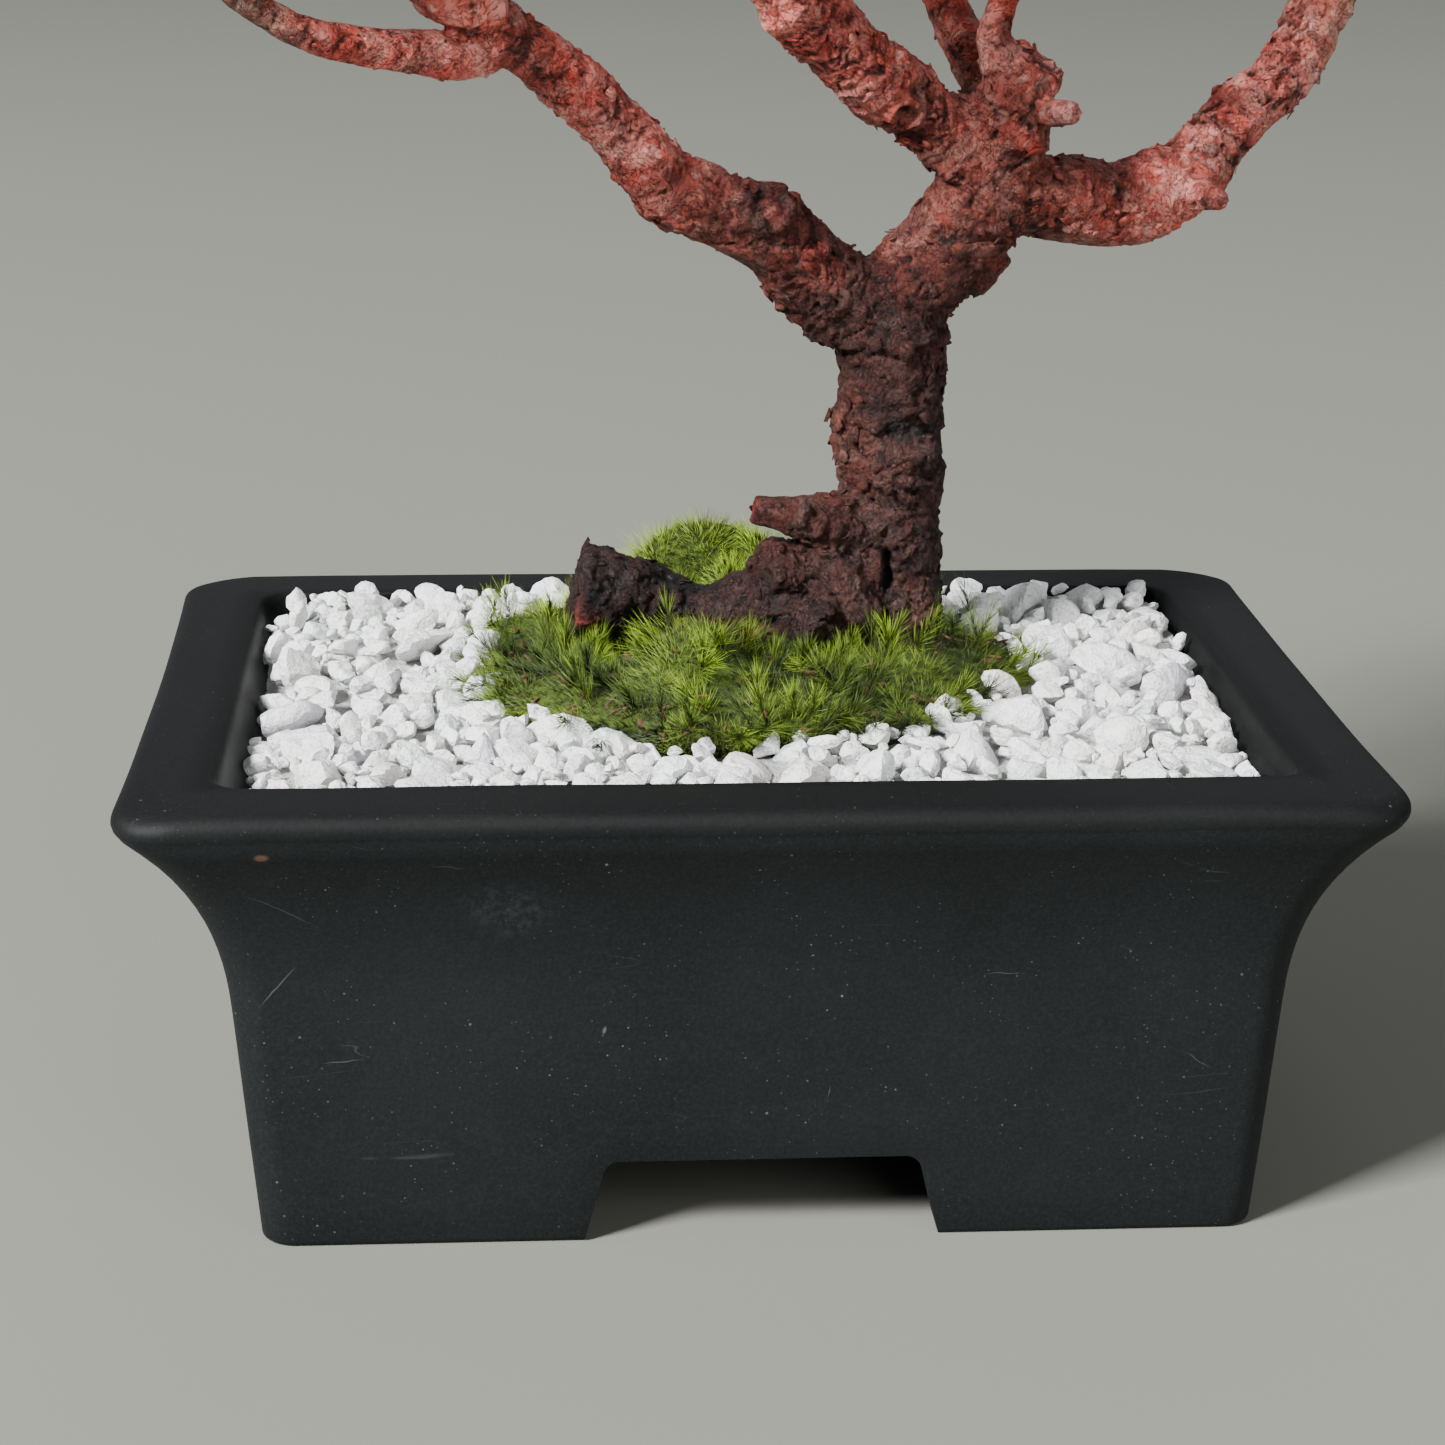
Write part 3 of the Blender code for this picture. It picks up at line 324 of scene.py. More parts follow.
# Radius of a spray's shoot, then radius, half-lengths and place of its buds, in mm
SPRAY_SHOOT_RADIUS = 1.45
BUD_RADIUS = 0.95
BUD_LENGTHS = (2.7, 1.8)
BUD_ADVANCE = 1.4


def unit(vectors):
    """Vectors of length one."""
    return vectors / np.maximum(np.linalg.norm(vectors, axis=-1, keepdims=True), 1e-12)


def clamped(value, low=0.0, high=1.0):
    """A value kept between two limits."""
    return min(high, max(low, value))


def bell(away, reach):
    """A soft bump: 1 in the middle, falling off over a reach."""
    return math.exp(-(away / reach) ** 2)


def toward(start, end, share):
    """A value or a tone moved towards another by a share."""
    return start + (end - start) * share


def add_object(name, data):
    """A new object in the scene."""
    made = bpy.data.objects.new(name, data)
    bpy.context.scene.collection.objects.link(made)
    return made


def mesh_from_bmesh(name, bm):
    """Turns a bmesh into a mesh and frees it."""
    mesh = bpy.data.meshes.new(name)
    bm.to_mesh(mesh)
    bm.free()
    return mesh


def add_piece(name, mesh, material, slot, *nodes):
    """Adds a piece of the object that stands for CAD nodes."""
    piece = add_object(name, mesh)
    mesh.materials.clear()
    mesh.materials.append(material)
    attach(piece, "root")
    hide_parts(*nodes)


def mesh_from_arrays(name, points, triangles, marks, smooth=True):
    """A mesh of triangles with named values on its points."""
    mesh = bpy.data.meshes.new(name)
    mesh.vertices.add(len(points))
    mesh.vertices.foreach_set("co", np.ascontiguousarray(points, dtype=np.float32).ravel())
    mesh.loops.add(3 * len(triangles))
    mesh.loops.foreach_set("vertex_index", np.ascontiguousarray(triangles, dtype=np.int32).ravel())
    mesh.polygons.add(len(triangles))
    starts = np.arange(0, 3 * len(triangles), 3, dtype=np.int32)
    mesh.polygons.foreach_set("loop_start", starts)
    add_marks(mesh, marks)
    mesh.update(calc_edges=True)
    mesh.validate()
    mesh.polygons.foreach_set("use_smooth", np.full(len(mesh.polygons), smooth))
    return mesh


def add_marks(mesh, marks):
    """Writes named values, or colours, on the points of a mesh."""
    for mark, values in marks.items():
        values = np.ascontiguousarray(values, dtype=np.float32)
        if values.ndim == 1:
            layer = mesh.attributes.new(mark, "FLOAT", "POINT")
            layer.data.foreach_set("value", values)
        else:
            layer = mesh.attributes.new(mark, "FLOAT_COLOR", "POINT")
            full = np.hstack([values, np.ones((len(values), 1), dtype=np.float32)])
            layer.data.foreach_set("color", full.ravel())


def tinted_part(points, triangles, tint):
    """Points and triangles that share one tint."""
    return points, triangles, {"tint": np.tile(tint, (len(points), 1))}


def join_arrays(parts):
    """Several (points, triangles, marks) as one."""
    points = []
    triangles = []
    marks = {mark: [] for mark in parts[0][2]}
    start = 0
    for part_points, part_triangles, part_marks in parts:
        points.append(part_points)
        triangles.append(part_triangles + start)
        start += len(part_points)
        for mark in marks:
            marks[mark].append(part_marks[mark])
    joined = {mark: np.concatenate(values) for mark, values in marks.items()}
    return np.concatenate(points), np.concatenate(triangles), joined


def blades(roots, headings, bends, lengths, radii, rings, rng, flat=1.0, taper=0.6):
    """Closed three-sided blades: points, triangles, place along the blade, blade number."""
    count = len(roots)
    sides = 3
    helper = np.where(np.abs(headings[:, 2:3]) < 0.9, (0.0, 0.0, 1.0), (1.0, 0.0, 0.0))
    first = unit(np.cross(headings, helper))
    second = np.cross(headings, first)
    roll = rng.uniform(0, math.tau, count)[:, None]
    across = first * np.cos(roll) + second * np.sin(roll)
    over = np.cross(headings, across)
    stride = rings * sides + 1
    points = np.zeros((count, stride, 3))
    along = np.zeros(stride)
    for ring in range(rings + 1):
        share = ring / rings
        centre = roots + headings * (lengths * share)[:, None]
        centre = centre + bends * (lengths * share ** 2)[:, None]
        if ring == rings:
            points[:, -1] = centre
            along[-1] = 1
            continue
        radius = (radii * (1 - share) ** taper)[:, None]
        for side in range(sides):
            angle = math.tau * side / sides
            out = across * math.cos(angle) + over * math.sin(angle) * flat
            points[:, ring * sides + side] = centre + radius * out
            along[ring * sides + side] = share
    template = [(0, 2, 1)]
    for ring in range(rings - 1):
        for side in range(sides):
            a = ring * sides + side
            b = ring * sides + (side + 1) % sides
            template += [(a, b, b + sides), (a, b + sides, a + sides)]
    last = (rings - 1) * sides
    template += [(last + side, last + (side + 1) % sides, stride - 1) for side in range(sides)]
    steps = (np.arange(count) * stride)[:, None, None]
    triangles = (np.array(template)[None] + steps).reshape(-1, 3)
    return points.reshape(-1, 3), triangles, np.tile(along, count), np.repeat(np.arange(count), stride)


class Nodes:
    """A small builder of material nodes."""

    def __init__(self, name, roughness):
        self.material = bpy.data.materials.new(name)
        self.material.use_nodes = True
        self.tree = self.material.node_tree
        self.shader = self.tree.nodes["Principled BSDF"]
        self.shader.inputs["Roughness"].default_value = roughness
        self.place = self.add("ShaderNodeTexCoord").outputs["Object"]

    def add(self, kind, **settings):
        """Adds a node and sets its plain settings."""
        node = self.tree.nodes.new(kind)
        for setting, value in settings.items():
            setattr(node, setting, value)
        return node

    def link(self, source, target):
        """Connects an output to an input."""
        self.tree.links.new(source, target)

    def feed(self, socket, value):
        """Sets an input from an output, a number or a colour."""
        if isinstance(value, bpy.types.NodeSocket):
            self.link(value, socket)
        elif isinstance(value, tuple):
            socket.default_value = (*value, 1)
        else:
            socket.default_value = value

    def grain(self, size, detail=4.0, roughness=0.55, stretch=(1, 1, 1), distortion=0.0):
        """Noise between 0 and 1 with features of a size in metres."""
        node = self.add("ShaderNodeTexNoise")
        mapping = self.add("ShaderNodeMapping")
        mapping.inputs["Scale"].default_value = stretch
        self.link(self.place, mapping.inputs["Vector"])
        self.link(mapping.outputs["Vector"], node.inputs["Vector"])
        node.inputs["Scale"].default_value = 1 / size
        node.inputs["Detail"].default_value = detail
        node.inputs["Roughness"].default_value = roughness
        node.inputs["Distortion"].default_value = distortion
        return node.outputs["Fac"]

    def cells(self, size):
        """Distance to the middle of cells with a size in metres."""
        node = self.add("ShaderNodeTexVoronoi")
        self.link(self.place, node.inputs["Vector"])
        node.inputs["Scale"].default_value = 1 / size
        return node.outputs["Distance"]

    def spot(self, middle, halves, angle=0.0, wobble=0.0):
        """Grows from 0 at a middle to 1 at the rim of an ellipsoid, with sizes in mm."""
        place = self.place
        if wobble:
            wave = self.add("ShaderNodeTexNoise")
            wave.inputs["Scale"].default_value = 1 / (5 * MM)
            self.link(self.place, wave.inputs["Vector"])
            moved = self.add("ShaderNodeVectorMath", operation="MULTIPLY_ADD")
            self.link(wave.outputs["Color"], moved.inputs[0])
            moved.inputs[1].default_value = (wobble * MM,) * 3
            self.link(self.place, moved.inputs[2])
            place = moved.outputs["Vector"]
        mapping = self.add("ShaderNodeMapping", vector_type="TEXTURE")
        mapping.inputs["Location"].default_value = [(value + wobble / 2) * MM for value in middle]
        mapping.inputs["Rotation"].default_value = (0, -math.radians(angle), 0)
        mapping.inputs["Scale"].default_value = [value * MM for value in halves]
        self.link(place, mapping.inputs["Vector"])
        length = self.add("ShaderNodeVectorMath", operation="LENGTH")
        self.link(mapping.outputs["Vector"], length.inputs[0])
        return length.outputs["Value"]

    def mark(self, name, output="Fac"):
        """A value or a colour written on the mesh."""
        return self.add("ShaderNodeAttribute", attribute_name=name).outputs[output]

    def ramp(self, value, *stops):
        """A colour or a grey that follows a value."""
        node = self.add("ShaderNodeValToRGB")
        elements = node.color_ramp.elements
        while len(elements) < len(stops):
            elements.new(0.5)
        for element, (position, colour) in zip(elements, stops):
            element.position = position
            if not isinstance(colour, tuple):
                colour = (colour,) * 3
            element.color = (*colour, 1)
        self.link(value, node.inputs["Fac"])
        return node.outputs["Color"]

    def mix(self, share, low, high, blend="MIX"):
        """A mix of two colours."""
        node = self.add("ShaderNodeMix", data_type="RGBA", blend_type=blend)
        self.feed(node.inputs["Factor"], share)
        self.feed(node.inputs[6], low)
        self.feed(node.inputs[7], high)
        return node.outputs[2]

    def product(self, a, b):
        """Two values multiplied."""
        node = self.add("ShaderNodeMath", operation="MULTIPLY")
        self.feed(node.inputs[0], a)
        self.feed(node.inputs[1], b)
        return node.outputs[0]

    def tinted(self, share, colour, factors):
        """A colour multiplied by factors, as far as a share says."""
        return self.mix(share, colour, factors, "MULTIPLY")

    def bump(self, height, depth, below=None):
        """Adds relief of a depth in metres to a normal."""
        node = self.add("ShaderNodeBump")
        node.inputs["Strength"].default_value = 1.0
        node.inputs["Distance"].default_value = depth
        self.link(height, node.inputs["Height"])
        if below is not None:
            self.link(below, node.inputs["Normal"])
        return node.outputs["Normal"]

    def finish(self, colour, roughness=None, normal=None, specular=None):
        """Connects the shader and gives the material."""
        self.feed(self.shader.inputs["Base Color"], colour)
        if roughness is not None:
            self.feed(self.shader.inputs["Roughness"], roughness)
        if normal is not None:
            self.link(normal, self.shader.inputs["Normal"])
        if specular is not None:
            self.shader.inputs["Specular IOR Level"].default_value = specular
        return self.material


def pot_material():
    """Matt charcoal glaze: dust specks, fine scratches, soft smudges, and painted shade on the lip's
    top and on the inner wall.
    """
    nodes = Nodes("matt_charcoal_glaze", 0.6)
    smudge = nodes.grain(0.03, 5, 0.6)
    base = nodes.mix(nodes.ramp(smudge, (0.35, 0.0), (0.7, 1.0)), (0.0038, 0.0049, 0.0052),
                     (0.0058, 0.0073, 0.0076))
    sand = nodes.ramp(nodes.grain(0.0005, 4, 0.75), (0.42, 0.0), (0.72, 0.6))
    base = nodes.mix(sand, base, (0.0125, 0.0145, 0.0150))
    scratch = nodes.grain(0.006, 1, 0.4, (0.12, 1, 1), 0.6)
    line = nodes.ramp(scratch, (0.4985, 0.0), (0.5, 1.0), (0.5015, 0.0))
    rare = nodes.ramp(nodes.grain(0.012, 2), (0.62, 0.0), (0.68, 1.0))
    base = nodes.mix(nodes.product(nodes.product(line, rare), 0.35), base, (0.05, 0.055, 0.06))
    few = nodes.ramp(nodes.grain(0.011, 3), (0.46, 0.0), (0.58, 1.0))
    for size, reach, strength in ((0.0047, 0.028, 0.9), (0.0021, 0.045, 0.6), (0.0011, 0.07, 0.35)):
        dust = nodes.ramp(nodes.cells(size), (reach, strength), (1.7 * reach, 0.0))
        base = nodes.mix(nodes.product(dust, few), base, (0.10, 0.11, 0.115))
    for x, z, angle, long, wide, strength in SCRATCHES:
        edge = nodes.spot((x, -54, z), (long, 14, wide), angle, 1.6)
        base = nodes.mix(nodes.ramp(edge, (0.4, strength), (1.0, 0.0)), base, (0.075, 0.08, 0.085))
    cloud = nodes.ramp(nodes.spot((-32, -56, 46.9), (7.5, 14, 5.0), 0, 4.0), (0.5, 0.5), (1.0, 0.0))
    powder = nodes.ramp(nodes.grain(0.0012, 5, 0.8), (0.45, 0.0), (0.7, 1.0))
    base = nodes.mix(nodes.product(cloud, powder), base, (0.035, 0.038, 0.040))
    stain = nodes.spot((-62, -58.5, 55.1), (1.1, 2.5, 0.6), 0, 0.8)
    base = nodes.mix(nodes.ramp(stain, (0.5, 1.0), (1.0, 0.0)), base, (0.085, 0.045, 0.032))
    # Painted shade: the top of the pot, round the lip, is darkened.
    top = nodes.ramp(nodes.spot((0, 0, 64), (400, 400, 7)), (0.8, 1.0), (1.0, 0.0))
    base = nodes.tinted(top, base, (0.56, 0.53, 0.53))
    # Painted shade on the pot's inner wall.
    base = nodes.tinted(nodes.mark("inner"), base, (0.35, 0.35, 0.35))
    rough = nodes.ramp(smudge, (0.3, 0.58), (0.7, 0.7))
    fine = nodes.bump(nodes.grain(0.0006, 4, 0.7), 0.00004)
    broad = nodes.bump(nodes.grain(0.008, 3), 0.00015, fine)
    return nodes.finish(base, rough, broad, 0.17)


def chip_material():
    """Chalk-white stone with painted shade as grey spots in its pits, and faint tints."""
    nodes = Nodes("white_stone_chips", 0.85)
    tint = nodes.mark("tint", "Color")
    cloud = nodes.grain(0.0035, 5, 0.6)
    colour = nodes.mix(nodes.ramp(cloud, (0.35, 0.0), (0.75, 0.5)), tint, (0.74, 0.75, 0.76))
    # Painted shade: grey spots where small pits lie in shade.
    painted_pit_shade = nodes.ramp(nodes.grain(0.0008, 5, 0.75), (0.36, 1.0), (0.48, 0.0))
    colour = nodes.mix(nodes.product(painted_pit_shade, 0.55), colour, (0.44, 0.43, 0.44))
    spot = nodes.ramp(nodes.cells(0.0013), (0.14, 1.0), (0.24, 0.0))
    rare = nodes.ramp(nodes.grain(0.006, 2), (0.6, 0.0), (0.68, 1.0))
    colour = nodes.mix(nodes.product(spot, rare), colour, (0.60, 0.36, 0.37))
    fine = nodes.bump(nodes.grain(0.0006, 5, 0.75), 0.0003)
    chisel = nodes.bump(nodes.cells(0.0019), 0.0004, fine)
    coarse = nodes.bump(nodes.grain(0.0024, 4, 0.65), 0.0007, chisel)
    return nodes.finish(colour, 0.9, coarse, 0.25)


def moss_material():
    """Fine leaves, darkened towards the foot as painted shade and yellow-green at the tip, brightened
    there as a painted glow.
    """
    nodes = Nodes("moss_leaves", 0.55)
    along = nodes.mark("along")
    tint = nodes.mark("tint", "Color")
    # Painted shade towards the foot of each leaf and a painted glow at its tip.
    shade = nodes.ramp(along, (0.0, 0.12), (0.35, 0.5), (0.8, 1.0), (1.0, 1.25))
    colour = nodes.tinted(1.0, tint, shade)
    brown = nodes.ramp(nodes.grain(0.009, 3), (0.6, 0.0), (0.78, 0.55))
    colour = nodes.mix(brown, colour, (0.13, 0.10, 0.03))
    return nodes.finish(colour, 0.5, None, 0.35)


def mound_material():
    """Dark matted stems and crumbs under the leaves."""
    nodes = Nodes("moss_mat", 0.95)
    mat = nodes.grain(0.0016, 5, 0.7)
    colour = nodes.ramp(mat, (0.35, (0.010, 0.012, 0.003)), (0.55, (0.040, 0.062, 0.007)),
                        (0.75, (0.080, 0.105, 0.014)))
    relief = nodes.bump(mat, 0.0006)
    return nodes.finish(colour, None, relief, 0.2)


def litter_material():
    """Brown bits of dead leaf and bark between the leaves of the moss."""
    nodes = Nodes("litter", 0.9)
    colour = nodes.mix(nodes.grain(0.0012, 3), nodes.mark("tint", "Color"), (0.05, 0.025, 0.014))
    return nodes.finish(colour, None, nodes.bump(nodes.grain(0.0008, 3), 0.0002), 0.25)


def bark_material():
    """Flaking bark: tone from the mesh, darker in cracks and paler on raised edges, in part as painted
    shade and painted light that follow the relief.
    """
    nodes = Nodes("flaking_bark", 0.82)
    relief = nodes.mark("relief")
    # Painted shade in the low places of the relief and painted light on the raised ones.
    shade = nodes.ramp(relief, (0.1, 0.16), (0.36, 0.75), (0.55, 1.0), (0.9, 1.2))
    colour = nodes.tinted(1.0, nodes.mark("tone", "Color"), shade)
    scrap = nodes.ramp(nodes.grain(0.0026, 6, 0.75), (0.52, 0.0), (0.58, 1.0))
    colour = nodes.tinted(nodes.product(scrap, 0.5), colour, (1.5, 1.4, 1.3))
    dark = nodes.ramp(nodes.grain(0.0014, 5, 0.78), (0.35, 0.65), (0.43, 0.0))
    colour = nodes.tinted(dark, colour, (0.3, 0.24, 0.24))
    line = nodes.grain(0.0042, 6, 0.7, (1, 1, 1), 0.6)
    crack = nodes.ramp(line, (0.488, 0.0), (0.5, 0.85), (0.512, 0.0))
    colour = nodes.tinted(crack, colour, (0.25, 0.18, 0.18))
    torn = nodes.grain(0.0021, 5, 0.72, (1, 1, 1), 1.4)
    fissure = nodes.ramp(torn, (0.480, 0.0), (0.5, 0.8), (0.520, 0.0))
    colour = nodes.tinted(fissure, colour, (0.3, 0.22, 0.22))
    dust = nodes.ramp(nodes.grain(0.0009, 4, 0.7), (0.6, 0.0), (0.72, 0.5))
    high = nodes.ramp(relief, (0.5, 0.0), (0.85, 1.0))
    colour = nodes.tinted(nodes.product(dust, high), colour, (1.6, 1.7, 1.65))
    normal = nodes.bump(nodes.grain(0.00045, 4, 0.75), 0.00016)
    normal = nodes.bump(crack, -0.00035, normal)
    normal = nodes.bump(fissure, -0.00028, normal)
    normal = nodes.bump(nodes.cells(0.0017), 0.00022, normal)
    normal = nodes.bump(nodes.grain(0.0021, 7, 0.78, (1, 1, 1), 0.5), 0.0005, normal)
    rough = nodes.ramp(nodes.grain(0.0022, 4, 0.7), (0.44, 0.74), (0.58, 0.36))
    return nodes.finish(colour, rough, normal, 0.32)


def needle_material():
    """Dark green needles, paler at the foot, with yellowed points."""
    nodes = Nodes("pine_needles", 0.42)
    plain = (1.0, 1.0, 1.0)
    shade = nodes.ramp(nodes.mark("along"), (0.0, (1.7, 1.5, 1.0)), (0.18, plain), (0.9, plain),
                       (1.0, (3.4, 1.9, 1.0)))
    colour = nodes.tinted(1.0, nodes.mark("tint", "Color"), shade)
    streak = nodes.ramp(nodes.grain(0.0015, 3), (0.4, 0.0), (0.7, 0.4))
    colour = nodes.mix(streak, colour, (0.05, 0.12, 0.035))
    return nodes.finish(colour, 0.4, None, 0.5)


def shoot_material():
    """Scaly young shoots, papery sheaths and pale winter buds."""
    nodes = Nodes("shoots_and_buds", 0.75)
    scales = nodes.cells(0.0009)
    colour = nodes.mix(nodes.ramp(scales, (0.15, 0.0), (0.6, 0.8)), nodes.mark("tint", "Color"),
                       (0.12, 0.06, 0.03))
    return nodes.finish(colour, None, nodes.bump(scales, 0.0002), 0.3)


def soil_material():
    """Dark granular soil."""
    nodes = Nodes("soil_mix", 0.95)
    crumb = nodes.grain(0.0015, 5, 0.7)
    colour = nodes.ramp(crumb, (0.35, (0.02, 0.013, 0.008)), (0.7, (0.09, 0.06, 0.038)))
    return nodes.finish(colour, None, nodes.bump(crumb, 0.0008), 0.2)


def screen_material():
    """Dark green plastic mesh."""
    nodes = Nodes("screen_plastic", 0.5)
    scuff = nodes.grain(0.002, 4)
    colour = nodes.ramp(scuff, (0.3, (0.012, 0.035, 0.02)), (0.75, (0.03, 0.07, 0.04)))
    return nodes.finish(colour, None, nodes.bump(scuff, 0.0001), 0.45)


def floor_material():
    """Plain pale floor."""
    nodes = Nodes("pale_floor", 0.85)
    cloud = nodes.grain(0.4, 3)
    pale = tuple(channel * 1.04 for channel in FLOOR_COLOUR)
    return nodes.finish(nodes.mix(cloud, FLOOR_COLOUR, pale), None, None, 0.2)


def rounded_rectangle(half_x, half_y, corner, z):
    """Points of a rounded rectangle with divided sides, anticlockwise from above."""
    corners = []
    for sign_x, sign_y, start in ((1, 1, 0), (-1, 1, 90), (-1, -1, 180), (1, -1, 270)):
        for i in range(POT_CORNER_STEPS + 1):
            angle = math.radians(start + 90 * i / POT_CORNER_STEPS)
            x = sign_x * (half_x - corner) + corner * math.cos(angle)
            y = sign_y * (half_y - corner) + corner * math.sin(angle)
            corners.append(Vector((x, y, z)))
    points = []
    for i, point in enumerate(corners):
        points.append(point)
        if i % (POT_CORNER_STEPS + 1) == POT_CORNER_STEPS:
            following = corners[(i + 1) % len(corners)]
            points += [point.lerp(following, k / POT_SIDE_STEPS) for k in range(1, POT_SIDE_STEPS)]
    return points


def outer_section(height):
    """Half-sizes and corner radius of the pot's outside at a height below the nose."""
    nose_back = LIP_NOSE * (1 - math.cos(NOSE_START))
    reach = LIP_HALF_X - nose_back - FOOT_HALF_X - WALL_LEAN
    run = max(0.0, height - FLARE_START) / (FLARE_END - FLARE_START)
    out = WALL_LEAN * height / FLARE_END + reach * run ** FLARE_POWER
    share = out / (LIP_HALF_X - FOOT_HALF_X)
    half_y = toward(FOOT_HALF_Y, LIP_HALF_Y, share)
    return FOOT_HALF_X + out, half_y, toward(FOOT_CORNER, LIP_CORNER, share)


def cavity_section(height):
    """Half-sizes and corner radius of the pot's inside."""
    levels, moves = np.array(INNER_WALL[::-1]).T * MM
    moved = float(np.interp(height, levels, moves))
    return OPENING_HALF_X - moved, OPENING_HALF_Y - moved * INNER_TAPER_Y, OPENING_CORNER


def loft(name, rings):
    """A closed object from rings of equally many points."""
    bm = bmesh.new()
    loops = [[bm.verts.new(point) for point in ring] for ring in rings]
    for lower, upper in zip(loops, loops[1:]):
        for i in range(len(lower)):
            j = (i + 1) % len(lower)
            bm.faces.new((lower[i], lower[j], upper[j], upper[i]))
    bm.faces.new(list(reversed(loops[0])))
    bm.faces.new(loops[-1])
    bmesh.ops.recalc_face_normals(bm, faces=bm.faces)
    return add_object(name, mesh_from_bmesh(name, bm))


def pot_rings():
    """The pot's skin from its foot over the lip and down its inside."""
    levels = [FOOT_BEVEL, *(level * MM for level in OUTER_LEVELS)]
    flare = FLARE_END - FLARE_START
    levels += [FLARE_START + flare * i / FLARE_STEPS for i in range(FLARE_STEPS + 1)]
    foot_x, foot_y, foot_corner = outer_section(0)
    rings = []
    for i in range(BEVEL_STEPS):
        angle = math.radians(90 * i / BEVEL_STEPS)
        back = FOOT_BEVEL * (1 - math.sin(angle))
        level = FOOT_BEVEL * (1 - math.cos(angle))
        rings.append(rounded_rectangle(foot_x - back, foot_y - back, foot_corner, level))
    rings += [rounded_rectangle(*outer_section(level), level) for level in levels]
    for i in range(1, NOSE_STEPS + 1):
        angle = NOSE_START + (math.pi / 2 - NOSE_START) * i / NOSE_STEPS
        back = LIP_NOSE * (1 - math.cos(angle))
        level = POT_HEIGHT - LIP_NOSE + LIP_NOSE * math.sin(angle)
        rings.append(rounded_rectangle(LIP_HALF_X - back, LIP_HALF_Y - back, LIP_CORNER, level))
    for share in LIP_STEPS:
        back = toward(LIP_NOSE, LIP_HALF_X - OPENING_HALF_X, share)
        corner = toward(LIP_CORNER, OPENING_CORNER, share)
        rings.append(rounded_rectangle(LIP_HALF_X - back, LIP_HALF_Y - back, corner, POT_HEIGHT))
    inner_levels = [level * MM for level, _ in INNER_WALL]
    rings += [rounded_rectangle(*cavity_section(level), level) for level in inner_levels]
    return rings


def subtract(body, cutter):
    """Cuts one object from another and removes the cutter."""
    cut = body.modifiers.new("cut", "BOOLEAN")
    cut.operation = "DIFFERENCE"
    cut.solver = "EXACT"
    cut.object = cutter
    applied(body)
    bpy.data.objects.remove(cutter, do_unlink=True)


def applied(body):
    """Applies the modifiers of an object."""
    depsgraph = bpy.context.evaluated_depsgraph_get()
    mesh = bpy.data.meshes.new_from_object(body.evaluated_get(depsgraph))
    body.modifiers.clear()
    body.data = mesh
    return mesh


def cut_foot(pot):
    """Cuts the recess in the foot ring, the cut-outs at the front and the back and the drain holes."""
    recess_x = FOOT_HALF_X - FOOT_RING_WALL
    recess_y = FOOT_HALF_Y - FOOT_RING_WALL
    recess = [rounded_rectangle(recess_x, recess_y, FOOT_CORNER, level)
              for level in (-CUT_MARGIN, RECESS_HEIGHT)]
    subtract(pot, loft("recess_cutter", recess))

    slope = (CUTOUT_WIDTH - CUTOUT_TOP_WIDTH) / 2 / CUTOUT_HEIGHT
    outline = [(CUTOUT_WIDTH / 2 + CUT_MARGIN * slope, -CUT_MARGIN)]
    for i in range(CUTOUT_CORNER_STEPS + 1):
        angle = math.radians(90 * i / CUTOUT_CORNER_STEPS)
        inward = CUTOUT_CORNER * (1 - math.cos(angle))
        level = CUTOUT_HEIGHT - CUTOUT_CORNER * (1 - math.sin(angle))
        outline.append((CUTOUT_WIDTH / 2 - slope * level - inward, level))
    outline += [(-x, z) for x, z in reversed(outline)]
    rings = [[Vector((x, y, z)) for x, z in outline] for y in (LIP_HALF_Y, -LIP_HALF_Y)]
    subtract(pot, loft("cutout_cutter", rings))

    turns = [math.tau * i / DRAIN_HOLE_SIDES for i in range(DRAIN_HOLE_SIDES)]
    for x in (-DRAIN_HOLE_X, DRAIN_HOLE_X):
        rings = [[Vector((x + DRAIN_HOLE_RADIUS * math.cos(turn),
                          DRAIN_HOLE_RADIUS * math.sin(turn), level)) for turn in turns]
                 for level in (RECESS_HEIGHT - 2 * CUT_MARGIN, INNER_FLOOR + 2 * CUT_MARGIN)]
        subtract(pot, loft("drain_cutter", rings))


def uneven(place):
    """A point of the pot moved by soft waves, with the lip's corners drawn out and down."""
    wave = noise.noise_vector(place / POT_WAVE_SIZE)
    height = place.z / POT_HEIGHT
    moved = place + Vector((wave.x, wave.y, wave.z * 0.6)) * POT_WAVE * min(1.0, height * 3)
    across = abs(place.x) / LIP_HALF_X
    deep = abs(place.y) / LIP_HALF_Y
    lip = clamped((height - 0.7) / 0.3) * clamped((across - 0.86) / 0.1)
    moved.x += math.copysign(LIP_CORNER_FLARE * lip * deep ** 2.5, place.x)
    moved.z -= LIP_CORNER_DROOP * lip * deep ** 5
    return moved


def is_inner(place):
    """Whether a point of the pot belongs to its inner wall."""
    edge_x, edge_y = cavity_section(place.z)[:2]
    within = abs(place.x) < edge_x + INNER_EDGE and abs(place.y) < edge_y + INNER_EDGE
    return within and place.z > INNER_FLOOR


